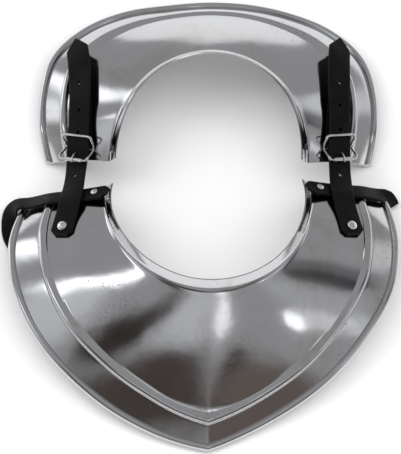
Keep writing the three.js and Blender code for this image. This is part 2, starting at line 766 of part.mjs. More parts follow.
// The wire frame with its keeper bar and centre bar, its roller and its tongue
function makeBuckle(bar, strapStations) {
  const half = buckleLength / 2;
  const keeperUp = strapTopOver(bar, strapStations, half, wireRadius) + gap + wireRadius;
  const rollerUp = strapTopOver(bar, strapStations, -half, rollerRadius) + gap + rollerRadius;
  const oneSide = buckleRows.slice(1, -1);
  const round = [buckleRows[0], ...oneSide, buckleRows[buckleRows.length - 1]];
  for (const row of [...oneSide].reverse()) round.push({ along: row.along, across: -row.across });
  const points = round.map((row) => {
    const end = row.along > 0 ? keeperUp : rollerUp;
    const share = THREE.MathUtils.smoothstep(Math.abs(row.along), 0.15, 0.78);
    return inBuckle(bar, row.along * half, row.across * buckleHalfWidth, end * share);
  });
  const centreStart = inBuckle(bar, 0, -buckleHalfWidth, 0);
  const centreEnd = inBuckle(bar, 0, buckleHalfWidth, 0);
  const centre = barBetween(centreStart, centreEnd, wireRadius, 8);
  const frame = joinAll([wireAlong(points, wireRadius, true, 6), centre]);
  const bore = wireRadius + gap;
  const rollerWidth = 2 * rollerShare * buckleHalfWidth;
  const roller = ringAt(inBuckle(bar, -half, 0, rollerUp), bar.across, bore, rollerRadius, rollerWidth);
  const eye = ringAt(bar.middle, bar.across, bore, bore + eyeWall, 2.8 * tongueRadius);
  const armStart = bore + eyeWall / 2;
  const tipUp = rollerUp + rollerRadius + gap + tongueRadius;
  const armPoints = [
    inBuckle(bar, -armStart * 0.8, 0, armStart * 0.6),
    inBuckle(bar, -half * 0.5, 0, tipUp * 0.62),
    inBuckle(bar, -half * 0.85, 0, tipUp * 0.97),
    inBuckle(bar, -half - rollerRadius * 0.3, 0, tipUp),
    inBuckle(bar, -half - rollerRadius * 1.1, 0, tipUp - tongueRadius * 0.4),
  ];
  const tongue = joinAll([eye, wireAlong(armPoints, tongueRadius, false, 6)]);
  const clearance = wireAlong(armPoints, tongueRadius + 2 * gap, false, 8);
  return { frame, roller, tongue, clearance };
}

// Assembly
const plates = {
  front: new THREE.Mesh(makePlate(frontPlate), bothFaces),
  back: new THREE.Mesh(makePlate(backPlate), bothFaces),
};
const frontBores = [];
const backBores = [];

for (const side of ['left', 'right']) {
  const armingStations = makeArmingStrap(side, plates.front);
  const armingEnds = (fromStart) => clippedEnd(fromStart, armingClipLength);
  const armingBody = strapBody(armingStations, armingWidth, armingThickness, armingEnds);
  const armingSpot = stationAt(armingStations, armingRivetSetback);
  const armingRivet = makeRivet(armingSpot, armingThickness, armingRivetHead, plates.front);
  frontBores.push(armingRivet.bore);
  const armingMesh = addPiece(`arming_strap_${side}`, cutAway(armingBody, [armingRivet.bore]), leather);
  addPiece(`arming_rivet_${side}`, armingRivet.rivet, nickel);

  const bar = buckleFrame(side, plates.back);
  const chape = makeChape(bar, plates.back);
  const chapeSpot = stationAt(chape.stations, chapeLength - chapeRivetSetback);
  const chapeRivet = makeRivet(chapeSpot, 2 * chapeLayer, chapeRivetHead, plates.back);
  backBores.push(chapeRivet.bore);
  const chapeMesh = addPiece(`chape_${side}`, cutAway(chape.geometry, [chapeRivet.bore]), leather);
  const chapeRivetMesh = addPiece(`chape_rivet_${side}`, chapeRivet.rivet, nickel);

  const plan = strapRoutes[side].map((row) => {
    const y = strapStart + strapRun * row.along;
    return new THREE.Vector3(strapSpread * row.across, y, 0);
  });
  const supports = [plates.front, plates.back, armingMesh, chapeMesh, chapeRivetMesh];
  const strapStations = laySoft(plan, strapWidth, strapThickness, supports, 34, strapFreeEnd);
  const strapEnds = (fromStart, fromEnd) =>
    Math.min(clippedEnd(fromStart, strapClipLength), pointedTip(fromEnd, strapTipLength));
  const strap = strapBody(strapStations, strapWidth, strapThickness, strapEnds);
  const strapSpot = stationAt(strapStations, strapRivetSetback);
  const strapRivet = makeRivet(strapSpot, strapThickness, strapRivetHead, plates.front);
  frontBores.push(strapRivet.bore);
  const buckle = makeBuckle(bar, strapStations);
  const tongueHole = strapRunAt(strapStations, inBuckle(bar, -buckleLength * 0.38, 0, 0));
  const holes = strapHoles[side].map((k) => {
    const spot = stationAt(strapStations, tongueHole + k * strapHolePitch);
    const above = spot.middle.clone().addScaledVector(spot.up, strapThickness);
    const below = spot.middle.clone().addScaledVector(spot.up, -strapThickness);
    return barBetween(above, below, strapHoleRadius, 8);
  });
  addPiece(`strap_${side}`, cutAway(strap, [strapRivet.bore, buckle.clearance, ...holes]), leather);
  addPiece(`strap_rivet_${side}`, strapRivet.rivet, nickel);
  addPiece(`buckle_frame_${side}`, buckle.frame, nickel);
  addPiece(`buckle_roller_${side}`, buckle.roller, nickel);
  addPiece(`buckle_tongue_${side}`, buckle.tongue, nickel);
}

// The distance along stations that passes nearest a point in plan
function strapRunAt(stations, point) {
  const lengths = runLengths(stations);
  const distances = stations.map(({ middle }) => Math.hypot(middle.x - point.x, middle.y - point.y));
  const nearest = distances.indexOf(Math.min(...distances));
  const ahead = point.clone().sub(stations[nearest].middle).dot(stations[nearest].run.clone().setZ(0));
  return lengths[nearest] + ahead;
}

addPiece('front_plate', cutAway(plates.front.geometry, frontBores), steel);
addPiece('back_plate', cutAway(plates.back.geometry, backBores), steel);

// The origin is under the middle of the whole piece, on the table
const box = new THREE.Box3().setFromObject(gorget);
const middle = box.getCenter(new THREE.Vector3());
gorget.position.set(-middle.x, -middle.y, -box.min.z);

export default gorget;
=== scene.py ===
"""A steel gorget lying on a pale table: polished plates, buckled black leather straps, nickel fittings.

Shapes are worked out in millimetres, in the plates' own axes (X across, Y from the front tip to the
back, Z up), and are moved into the frame's axes and metres when a mesh is made.
"""
import math

import bmesh
import bpy
import numpy as np
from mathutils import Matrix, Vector, noise
from mathutils.bvhtree import BVHTree


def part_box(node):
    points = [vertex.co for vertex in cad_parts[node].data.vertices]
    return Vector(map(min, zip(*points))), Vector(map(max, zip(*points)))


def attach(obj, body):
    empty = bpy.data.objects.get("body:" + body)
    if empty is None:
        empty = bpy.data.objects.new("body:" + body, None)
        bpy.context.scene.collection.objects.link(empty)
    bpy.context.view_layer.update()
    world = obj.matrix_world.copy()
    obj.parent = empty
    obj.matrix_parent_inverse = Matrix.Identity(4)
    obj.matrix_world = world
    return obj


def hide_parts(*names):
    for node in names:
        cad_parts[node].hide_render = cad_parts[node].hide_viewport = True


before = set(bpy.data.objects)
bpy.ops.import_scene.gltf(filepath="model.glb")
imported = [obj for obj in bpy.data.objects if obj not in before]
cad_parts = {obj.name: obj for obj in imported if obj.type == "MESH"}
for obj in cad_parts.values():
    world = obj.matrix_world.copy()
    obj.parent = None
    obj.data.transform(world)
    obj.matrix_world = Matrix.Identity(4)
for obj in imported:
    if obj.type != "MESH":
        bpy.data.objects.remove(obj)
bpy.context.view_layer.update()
MM = 0.001

# Clearance between pieces that touch
GAP = 0.3

# Sheet steel
SHEET = 1.2
ROLL_RADIUS = 3.3
COLLAR_HEIGHT = 11
COLLAR_LEAN = 25
FILLET_REACH = 3.5
BEAD_WIDTH = 8.5
BEAD_HEIGHT = 2.6
CROWN = 4

# Long straps
STRAP_WIDTH = 19.5
STRAP_THICKNESS = 2.5
STRAP_SPREAD = 108
STRAP_START = -26
STRAP_RUN = 182
STRAP_HOLE_RADIUS = 1.7
STRAP_HOLE_PITCH = 18.6
STRAP_TIP = 12
STRAP_FREE_END = 56
STRAP_BEND = 130
STRAP_CLIP = 4

# Chapes and arming straps
CHAPE_WIDTH = 18
CHAPE_LAYER = 1.6
CHAPE_LENGTH = 50
CHAPE_CURVE = 0.3
ARMING_WIDTH = 15
ARMING_THICKNESS = 2.5
ARMING_SETBACK = 9.5
ARMING_CLIP = 4

# Buckles
WIRE_RADIUS = 1.0
ROLLER_RADIUS = 1.8
TONGUE_RADIUS = 0.8
BUCKLE_LENGTH = 20
BUCKLE_HALF_WIDTH = 13
BUCKLE_ALONG = 56
BUCKLE_SHIFT = 1.2

# Rivets
STRAP_RIVET_HEAD = 4.3
ARMING_RIVET_HEAD = 3.2
CHAPE_RIVET_HEAD = 3.2
SHANK_RADIUS = 1.6
STRAP_RIVET_SETBACK = 8
ARMING_RIVET_SETBACK = 12
CHAPE_RIVET_SETBACK = 7

# Plates. Columns: turn, neck left and right (shares of NECK_RADIUS), neck up (of the rise),
# edge left and right (of the reach), edge up (of the arch). Borders: turn, left, right (of the border).
NECK_RADIUS = 84
FRONT = {
    "centre_y": 0, "facing": -1, "neck_sweep": (104, 106.5), "edge_sweep": (99, 102), "pointed": True,
    "reach": 200, "rise": 66, "arch": 24, "border": 24,
    "rows": [
        (0.00, 0.99, 0.99, 1.00, 1.000, 1.000, 0.00),
        (0.10, 0.98, 0.99, 0.99, 0.972, 0.944, 0.08),
        (0.20, 0.97, 1.00, 0.98, 0.946, 0.905, 0.24),
        (0.35, 0.96, 1.01, 0.96, 0.914, 0.870, 0.50),
        (0.50, 0.97, 1.01, 0.94, 0.894, 0.843, 0.73),
        (0.65, 0.98, 1.00, 0.89, 0.870, 0.830, 0.86),
        (0.80, 1.00, 1.00, 0.79, 0.838, 0.794, 0.80),
        (0.92, 1.01, 1.01, 0.64, 0.790, 0.757, 0.43),
        (1.00, 1.02, 1.02, 0.51, 0.755, 0.742, 0.00),
    ],
    "borders": [
        (0.0, 0.78, 0.78), (0.2, 1.00, 0.76), (0.5, 1.04, 0.86), (0.8, 1.06, 0.95), (1.0, 0.85, 0.80),
    ],
}
BACK = {
    "centre_y": 48, "facing": 1, "neck_sweep": (92.5, 93.5), "edge_sweep": (86.5, 87.5), "pointed": False,
    "reach": 155, "rise": 66, "arch": 10, "border": 21,
    "rows": [
        (0.00, 0.97, 0.97, 1.00, 0.997, 0.997, 0.00),
        (0.15, 0.96, 0.98, 0.99, 1.000, 1.005, 0.13),
        (0.30, 0.95, 0.98, 0.96, 1.033, 1.023, 0.38),
        (0.45, 0.945, 0.98, 0.94, 1.060, 1.048, 0.68),
        (0.60, 0.93, 0.99, 0.87, 1.060, 1.051, 0.90),
        (0.75, 0.93, 0.98, 0.79, 0.996, 0.994, 0.95),
        (0.88, 0.945, 0.97, 0.66, 0.931, 0.932, 0.80),
        (1.00, 0.965, 0.975, 0.50, 0.872, 0.876, 0.00),
    ],
    "borders": [(0.0, 0.95, 0.95), (0.6, 1.00, 1.00), (1.0, 0.90, 0.90)],
}

# Where each measure starts in the rows of those tables
NECK_OUT = 1
NECK_UP = 3
EDGE_OUT = 4
EDGE_UP = 6
BORDER_OUT = 1

# The bead's rise across its width
BEAD_ROWS = [
    (0.00, 0.00), (0.14, 0.22), (0.34, 0.78), (0.56, 1.00), (0.76, 0.90), (0.90, 0.38), (1.00, 0.00),
]

# Long straps in plan: share of STRAP_SPREAD across, share of STRAP_RUN along
STRAP_ROUTES = {
    "left": [
        (-1.115, 0.0), (-1.04, 0.19), (-1.0, 0.355), (-0.985, 0.51),
        (-0.975, 0.7), (-0.985, 0.86), (-1.01, 1.0),
    ],
    "right": [(1.1, 0.0), (1.025, 0.19), (1.0, 0.355), (1.0, 0.51), (1.0, 0.7), (1.0, 0.86), (1.01, 1.0)],
}

# Punched holes of each strap, counted in pitches from the one that the tongue is in
STRAP_HOLES = {"left": (-1, 1, 2, 3.3), "right": (-1, 1.1, 2.2, 3.3)}

# Each side's sign, buckle lean in degrees, and the arming strap's fall past the plate's corner:
# out, along and up in multiples of ARMING_WIDTH, and the strap's roll in degrees
SIDES = {
    "left": (-1, 16, [
        (0.66, -0.50, 0.95, 38), (1.10, -0.80, 0.62, 34), (1.16, -1.40, 0.30, 18),
        (1.08, -2.20, 0.12, 0), (0.50, -3.10, 0.10, 0), (-0.35, -3.75, 0.10, 0),
    ]),
    "right": (1, -13, [
        (0.38, -0.66, 0.80, 8), (0.54, -0.82, 0.50, 4), (0.60, -0.92, 0.26, 2),
    ]),
}

# One side of the buckle's wire, keeper bar to roller bar: share of half length along, of half width across
BUCKLE_ROWS = [
    (1.00, 0.00), (1.00, 0.40), (1.00, 0.74), (0.88, 0.96), (0.66, 1.00), (0.30, 0.97),
    (-0.10, 0.95), (-0.45, 0.96), (-0.78, 0.96), (-0.95, 0.88), (-1.00, 0.76), (-1.00, 0.35), (-1.00, 0.00),
]

UP = np.array([0.0, 0.0, 1.0])

# Edges sharper than these, in degrees, are shaded as edges: on metal, on leather, and on leather with holes
METAL_CREASE = 40
LEATHER_CREASE = 60
HOLED_CREASE = 40

# Steps of a smooth path between two of its control points, and the least distance between them
SPAN_STEPS = 24
LEAST_SPAN = 1e-4


# Small tools for points and curves
def unit(v):
    return v / np.linalg.norm(v)


def smooth_value(knots, x):
    """Smooth value at x through knots of (x, value), with the slopes of their neighbours."""
    def slope(i):
        before = knots[max(i - 1, 0)]
        after = knots[min(i + 1, len(knots) - 1)]
        return (after[1] - before[1]) / (after[0] - before[0])
    i = 0
    while i < len(knots) - 2 and x > knots[i + 1][0]:
        i += 1
    (x0, y0), (x1, y1) = knots[i], knots[i + 1]
    span = x1 - x0
    s = min(max((x - x0) / span, 0.0), 1.0)
    rise = y1 - y0
    a = slope(i) * span - rise
    b = rise - slope(i + 1) * span
    return y0 + s * rise + s * (1 - s) * (a * (1 - s) + b * s)


def distances_along(points):
    """How far along a path each of its points is."""
    return np.concatenate([[0], np.cumsum(np.linalg.norm(np.diff(points, axis=0), axis=1))])


def smooth_path(points, count, closed=False):
    """Points evenly spaced along a centripetal curve through control points."""
    pts = [np.array(p, float) for p in points]
    n = len(pts)
    def at(i):
        if closed:
            return pts[i % n]
        if i < 0:
            return 2 * pts[0] - pts[1]
        if i >= n:
            return 2 * pts[-1] - pts[-2]
        return pts[i]
    def root_gap(a, b):
        return math.sqrt(max(np.linalg.norm(b - a), LEAST_SPAN))
    dense = []
    spans = n if closed else n - 1
    for i in range(spans):
        p0, p1, p2, p3 = at(i - 1), at(i), at(i + 1), at(i + 2)
        d1 = root_gap(p0, p1)
        d2 = root_gap(p1, p2)
        d3 = root_gap(p2, p3)
        t1 = ((p1 - p0) / d1 - (p2 - p0) / (d1 + d2) + (p2 - p1) / d2) * d2
        t2 = ((p2 - p1) / d2 - (p3 - p1) / (d2 + d3) + (p3 - p2) / d3) * d2
        for k in range(SPAN_STEPS):
            s = k / SPAN_STEPS
            dense.append(p1 * (2 * s**3 - 3 * s**2 + 1) + t1 * (s**3 - 2 * s**2 + s)
                         + p2 * (3 * s**2 - 2 * s**3) + t2 * (s**3 - s**2))
    dense.append(pts[0] if closed else pts[-1])
    dense = np.array(dense)
    lengths = distances_along(dense)
    wanted = np.linspace(0, lengths[-1], count + 1)
    path = np.stack([np.interp(wanted, lengths, dense[:, k]) for k in range(dense.shape[1])], axis=1)
    return path[:-1] if closed else path


def directions(path, closed=False):
    ahead = np.roll(path, -1, axis=0) - np.roll(path, 1, axis=0)
    if not closed:
        ahead[0] = path[1] - path[0]
        ahead[-1] = path[-1] - path[-2]
    return ahead / np.linalg.norm(ahead, axis=1)[:, None]


# Meshes
def make_mesh(name, points, faces, material, crease=METAL_CREASE):
    mesh = bpy.data.meshes.new(name)
    mesh.from_pydata(((np.asarray(points) + SHIFT) * MM).tolist(), [], faces)
    piece = bpy.data.objects.new(name, mesh)
    bpy.context.scene.collection.objects.link(piece)
    tidy = bmesh.new()
    tidy.from_mesh(mesh)
    bmesh.ops.recalc_face_normals(tidy, faces=tidy.faces)
    tidy.to_mesh(mesh)
    tidy.free()
    mesh.materials.append(material)
    mesh.shade_smooth()
    mesh.set_sharp_from_angle(angle=math.radians(crease))
    return piece


def sweep_faces(loops, count, closed):
    faces = []
    last = loops if closed else loops - 1
    for i in range(last):
        here, there = i * count, ((i + 1) % loops) * count
        for j in range(count):
            k = (j + 1) % count
            faces.append((here + j, here + k, there + k, there + j))
    return faces


def cap_strip(first, count, pairs):
    """Closes an outline whose point j faces point count - 1 - j, by quads from end to end."""
    return [(first + j, first + j + 1, first + count - 2 - j, first + count - 1 - j) for j in range(pairs)]


# Points of a plate's middle line in each stretch, from the collar's rim to the rolled edge
COLLAR_POINTS = 6
FILLET_POINTS = 9
PANEL_POINTS = 24
BEAD_POINTS = 19
BORDER_POINTS = 13

# Steps round the rolled edge, and from each plate's middle to its ends
ROLL_STEPS = 30
FRONT_STEPS = 150
BACK_STEPS = 120

# The panel's fold: how often it is smoothed near the neck, over how many points it comes back, and how late
CREASE_PASSES = 600
CREASE_POINTS = 26
CREASE_POWER = 5

# The hand-beaten waves: heights, lengths, where each is cut from the noise, and how far up they fade in
WAVE_SLOW = 0.42
WAVE_QUICK = 0.05
SLOW_LENGTH = 46
QUICK_LENGTH = 15
SLOW_LEVEL = 0.3
QUICK_LEVEL = 7.1
WAVE_FADE = 12
FRONT_SEED = 3.1
BACK_SEED = 9.4


# Plates
def column(plate, index, turn, rows="rows", sided=True):
    table = plate[rows]
    near = index + (1 if sided and turn > 0 else 0)
    far = index + (1 if sided and turn <= 0 else 0)
    knots = [(row[0], row[near]) for row in table]
    cornered = plate["pointed"] and rows == "rows" and index >= EDGE_OUT
    if not cornered:
        knots.insert(0, (-table[1][0], table[1][far]))
    return smooth_value(knots, abs(turn))


def plate_station(plate, turn):
    def place(sweep, radius, height):
        angle = math.radians(sweep[turn > 0] * turn)
        y = plate["centre_y"] + plate["facing"] * radius * math.cos(angle)
        return np.array([radius * math.sin(angle), y, height])
    neck = place(plate["neck_sweep"], NECK_RADIUS * column(plate, NECK_OUT, turn),
                 plate["rise"] * column(plate, NECK_UP, turn, sided=False))
    edge = place(plate["edge_sweep"], plate["reach"] * column(plate, EDGE_OUT, turn) - ROLL_RADIUS,
                 ROLL_RADIUS + plate["arch"] * column(plate, EDGE_UP, turn, sided=False))
    return neck, edge, plate["border"] * column(plate, BORDER_OUT, turn, rows="borders")


def sheet_middle(length, slope, border):
    """The middle of the sheet, collar rim to rolled edge, in the section's plane."""
    reach = length - ROLL_RADIUS
    def on_panel(a, up=0.0):
        h = 4 * CROWN * a * (reach - a) / reach**2 + up
        out = a * math.cos(slope) + h * math.sin(slope)
        return np.array([out, h * math.cos(slope) - a * math.sin(slope)])
    lean = math.radians(COLLAR_LEAN)
    def on_collar(a):
        return np.array([-a * math.sin(lean), a * math.cos(lean)])
    points = [on_collar(a) for a in np.linspace(COLLAR_HEIGHT, FILLET_REACH, COLLAR_POINTS + 1)[:-1]]
    start, middle, end = on_collar(FILLET_REACH), on_panel(0), on_panel(FILLET_REACH)
    for u in np.linspace(0, 1, FILLET_POINTS):
        points.append(start * (1 - u)**2 + 2 * middle * u * (1 - u) + end * u**2)
    bead_start = length - border - BEAD_WIDTH
    points += [on_panel(a) for a in np.linspace(FILLET_REACH, bead_start, PANEL_POINTS + 2)[1:-1]]
    for share in np.linspace(0, 1, BEAD_POINTS):
        up = BEAD_HEIGHT * max(smooth_value(BEAD_ROWS, share), 0.0)
        points.append(on_panel(bead_start + BEAD_WIDTH * share, up))
    points += [on_panel(a) for a in np.linspace(length - border, reach, BORDER_POINTS + 1)[1:]]
    return np.array(points)


def offset_line(points, distance):
    into = np.diff(points, axis=0)
    into /= np.linalg.norm(into, axis=1)[:, None]
    tangent = np.vstack([into[:1], into[:-1] + into[1:], into[-1:]])
    tangent /= np.linalg.norm(tangent, axis=1)[:, None]
    return points + distance * np.stack([-tangent[:, 1], tangent[:, 0]], axis=1)


def plate_section(plate, turn):
    neck, edge, border = plate_station(plate, turn)
    flat = edge[:2] - neck[:2]
    run = float(np.linalg.norm(flat))
    drop = float(neck[2] - edge[2])
    slope = math.atan2(drop, run)
    middle = sheet_middle(math.hypot(run, drop), slope, border)
    upper = offset_line(middle, SHEET / 2)
    under = offset_line(middle, -SHEET / 2)
    join = math.pi - math.asin(SHEET / 2 / ROLL_RADIUS)
    angles = join - 2 * join * np.arange(1, ROLL_STEPS) / ROLL_STEPS - slope
    roll = np.stack([run + ROLL_RADIUS * np.cos(angles), ROLL_RADIUS * np.sin(angles) - drop], axis=1)
    outline = np.vstack([upper, roll, under[::-1]])
    flat = flat / run
    points = np.stack([neck[0] + outline[:, 0] * flat[0], neck[1] + outline[:, 0] * flat[1],
                       neck[2] + outline[:, 1]], axis=1)
    return points, len(middle)


def wobble(points, seed):
    """The hand-beaten sheet's slow waves, in millimetres along Z."""
    out = points.copy()
    for i, (x, y, z) in enumerate(points):
        slow = noise.noise(Vector((x / SLOW_LENGTH + seed, y / SLOW_LENGTH, SLOW_LEVEL)))
        quick = noise.noise(Vector((x / QUICK_LENGTH + seed, y / QUICK_LENGTH, QUICK_LEVEL)))
        out[i, 2] = z + WAVE_SLOW * slow + WAVE_QUICK * quick
    return out


def soften_crease(loops, middle):
    """The fold in front shows only near the bead: towards the neck the panel is round."""
    radius = np.hypot(loops[:, :, 0], loops[:, :, 1])
    angle = np.unwrap(np.arctan2(loops[:, :, 1], loops[:, :, 0]), axis=0)
    polar = np.stack([radius, angle, loops[:, :, 2]], axis=2)
    smooth = polar.copy()
    for _ in range(CREASE_PASSES):
        smooth[1:-1] = (smooth[:-2] + 2 * smooth[1:-1] + smooth[2:]) / 4
    along = np.ones(loops.shape[1])
    first = COLLAR_POINTS + FILLET_POINTS
    panel = np.clip((np.arange(middle) - first) / CREASE_POINTS, 0, 1) ** CREASE_POWER
    along[:middle] = panel
    along[-middle:] = panel[::-1]
    along = along[None, :, None]
    polar = smooth * (1 - along) + polar * along
    radius, angle, level = np.moveaxis(polar, 2, 0)
    return np.stack([radius * np.cos(angle), radius * np.sin(angle), level], axis=2)


def plate_points(plate, steps, seed):
    loops = []
    for i in range(-steps, steps + 1):
        points, middle = plate_section(plate, i / steps)
        loops.append(points)
    count = len(loops[0])
    loops = soften_crease(np.array(loops), middle)
    points = np.vstack(loops)
    fade = np.clip((points[:, 2] - 2 * ROLL_RADIUS) / WAVE_FADE, 0, 1)[:, None]
    waved = wobble(points, seed)
    points = points * (1 - fade) + waved * fade
    faces = sweep_faces(len(loops), count, closed=False)
    last = (len(loops) - 1) * count
    pairs = middle + (ROLL_STEPS - 1) // 2 - 1
    for first in (0, last):
        faces += cap_strip(first, count, pairs)
        if count - 2 * (pairs + 1) == 1:
            faces.append((first + pairs, first + pairs + 1, first + pairs + 2))
    return points, faces


# Rays fall from this height to find what a strip lies on, and it lies this far clear of that
CAST_HEIGHT = 300
REST = 2.2 * GAP

# Places across a strip where heights are found, the passes that even it out, and its steps
PROBES = 9
TILT_PASSES = 40
LEVEL_PASSES = 160
LAST_PASSES = 3
SHORT_STEPS = 36
LONG_STEPS = 110


# Laying soft strips over the pieces below them
def tree_of(points, faces):
    return BVHTree.FromPolygons([tuple(p) for p in points], faces)


def height_at(trees, x, y):
    hits = [tree.ray_cast(Vector((x, y, CAST_HEIGHT)), Vector((0, 0, -1)))[0] for tree in trees]
    heights = [hit.z for hit in hits if hit is not None]
    return max(heights) if heights else None


def bridge(values):
    """Fills the missing values of a row from their neighbours."""
    known = [i for i, value in enumerate(values) if value is not None]
    return np.interp(np.arange(len(values)), known, [values[i] for i in known])


def relax(values, passes):
    for _ in range(passes):
        values[1:-1] = (values[:-2] + 2 * values[1:-1] + values[2:]) / 4
    return values


def station(middle, run, across, up):
    return {"middle": middle, "run": run, "across": across, "up": up}


def stiffen_end(level, free_end, step):
    """A free end runs on from its last support, and bends down only as a stiff strap can."""
    for i in range(len(level) - round(free_end / step), len(level)):
        slope = (level[i - 1] - level[i - 2]) / step - step / STRAP_BEND
        level[i] = max(level[i], level[i - 1] + step * slope)
    return level


def lay_soft(plan, width, thickness, trees, count, free_end=0):
    """Stations of a strip that rests on what is below it and bridges the dips."""
    spots = smooth_path(plan, count)
    runs = directions(spots)
    sides = np.stack([runs[:, 1], -runs[:, 0]], axis=1)
    offsets = np.linspace(-0.5, 0.5, PROBES) * width
    heights = [[height_at(trees, *(spot + side * d)) for d in offsets] for spot, side in zip(spots, sides)]
    tilts = [None if None in row else (row[-1] - row[0]) / width for row in heights]
    tilts = relax(bridge(tilts), TILT_PASSES)
    floor = []
    for row, tilt in zip(heights, tilts):
        known = [h - tilt * d for h, d in zip(row, offsets) if h is not None]
        floor.append(max(known) + REST if known else None)
    level = bridge(floor)
    lowest = np.array([-np.inf if f is None else f for f in floor])
    for _ in range(LEVEL_PASSES):
        level = np.maximum(relax(level, 1), lowest)
    level = stiffen_end(relax(level, LAST_PASSES), free_end, np.linalg.norm(spots[-1] - spots[-2]))
    stations = []
    middles = np.column_stack([spots, level])
    runs = directions(middles)
    for middle, run, side, tilt in zip(middles, runs, sides, tilts):
        across = unit(np.array([side[0], side[1], tilt]))
        up = unit(np.cross(across, run))
        stations.append(station(middle + up * thickness / 2, run, across, up))
    return stations


def run_lengths(stations):
    return distances_along(np.array([s["middle"] for s in stations]))


def resample(stations, distances):
    """Stations at distances along others, on a smooth line through them."""
    lengths = run_lengths(stations)
    total = lengths[-1]
    middles = smooth_path([s["middle"] for s in stations], 8 * len(stations))
    dense = np.linspace(0, total, len(middles))
    runs = directions(middles)
    result = []
    for d in distances:
        middle = np.array([np.interp(d, dense, middles[:, k]) for k in range(3)])
        run = unit(np.array([np.interp(d, dense, runs[:, k]) for k in range(3)]))
        across = np.array([np.interp(d, lengths, [s["across"][k] for s in stations]) for k in range(3)])
        across = unit(across - run * across.dot(run))
        result.append(station(middle, run, across, unit(np.cross(across, run))))
    return result


# A strip's section: its edges' radius in thicknesses, the angles round them, and places across its faces
EDGE_SHARE = 0.36
EDGE_ANGLES = np.radians([0, 22, 45, 68, 90])
FACE_SHARES = (0.7, 0.35, 0.0, -0.35, -0.7)
FACE_CROWN = 0.10

# Shaped ends: how narrow a clipped end and the strap's tip are, and how the tip's sides curve
CLIP_SHARE = 0.6
ARMING_CLIP_SHARE = 0.55
TIP_SHARE = 0.06
TIP_POWER = 0.92

# Stations along a strip: their distance, the fewest, and how they gather at its ends
STATION_GAP = 2.2
LEAST_STATIONS = 6
START_STEPS = 5
END_STEPS = 15
END_POWER = 1.6
PLAIN_END = 3


def strip_outline(half, high, edge):
    """A strip's section: nearly flat faces with burnished round edges."""
    corner = [(half - edge + edge * math.cos(a), high - edge + edge * math.sin(a)) for a in EDGE_ANGLES]
    top = [((half - edge) * s, high + FACE_CROWN * (1 - s * s)) for s in FACE_SHARES]
    upper = corner + top + [(-x, y) for x, y in corner[::-1]]
    return upper + [(x, -y) for x, y in upper[::-1]]


def strip_body(stations, width, thickness, share):
    """A strip along its stations; share tells how wide it is from its distances to start and end."""
    edge = EDGE_SHARE * thickness
    lengths = run_lengths(stations)
    total = lengths[-1]
    points = []
    for s, at in zip(stations, lengths):
        factor = share(at, total - at)
        outline = strip_outline(width / 2 * factor, thickness / 2, min(edge, width / 3 * factor))
        points += [s["middle"] + s["across"] * x + s["up"] * y for x, y in outline]
    count = len(outline)
    faces = sweep_faces(len(stations), count, closed=False)
    for first in (0, (len(stations) - 1) * count):
        faces += cap_strip(first, count, count // 2 - 1)
    return np.array(points), faces


def arming_ends(from_start, _):
    return ARMING_CLIP_SHARE + (1 - ARMING_CLIP_SHARE) * min(from_start / ARMING_CLIP, 1)


def chape_ends(_, from_end):
    return CLIP_SHARE + (1 - CLIP_SHARE) * from_end / STRAP_CLIP if from_end < STRAP_CLIP else 1


def strap_ends(from_start, from_end):
    if from_start < STRAP_CLIP:
        return CLIP_SHARE + (1 - CLIP_SHARE) * from_start / STRAP_CLIP
    if from_end < STRAP_TIP:
        return TIP_SHARE + (1 - TIP_SHARE) * (from_end / STRAP_TIP) ** TIP_POWER
    return 1


def end_spacing(total, start, end):
    """Distances along a strip, closer together at its shaped ends."""
    count = max(int((total - start - end) / STATION_GAP), LEAST_STATIONS)
    opening = np.linspace(0, start, START_STEPS + 1)[:-1]
    inner = np.linspace(start, total - end, count)
    closing = total - end * np.linspace(1, 0, END_STEPS + 1)[1:] ** END_POWER
    return np.concatenate([opening, inner, closing])


# Sides of round bodies
WIRE_SIDES = 18
ROD_SIDES = 24
HOLE_SIDES = 28
TURNED_SIDES = 44

# A turned solid's least radius, and directions that no wire and no axis here runs along
LEAST_RADIUS = 0.01
NEARLY_UP = UP + 0.01
ASKEW = np.array([0.31, 0.95, 0.05])

# Rivets: the head's rise in radii, its rim and that rim's undercut, and the angle and points of the dome
HEAD_RISE = 0.62
HEAD_RIM = 0.22
RIM_UNDERCUT = 0.12
DOME_ANGLE = 86
DOME_POINTS = 12

# The tail's width and rise in shank radii, and where its bevel starts, as shares of those
TAIL_WIDTH = 1.9
TAIL_RISE = 0.7
TAIL_FLAT = 0.7
TAIL_BEVEL = 0.3

# A ray that starts this far inside a sheet finds its far side
JUST_INSIDE = 0.2


# Round bodies
def tube(path, radii, closed, segments=WIRE_SIDES):
    """A round wire along a path; an open one has flat ends."""
    ahead = directions(path, closed)
    side = unit(np.cross(ahead[0], NEARLY_UP))
    points = []
    for p, t, r in zip(path, ahead, radii):
        side = unit(side - t * side.dot(t))
        up = np.cross(side, t)
        for j in range(segments):
            a = 2 * math.pi * j / segments
            points.append(p + r * (side * math.cos(a) + up * math.sin(a)))
    faces = sweep_faces(len(path), segments, closed)
    if not closed:
        faces += [tuple(range(segments)), tuple(range(len(points) - segments, len(points)))]
    return np.array(points), faces


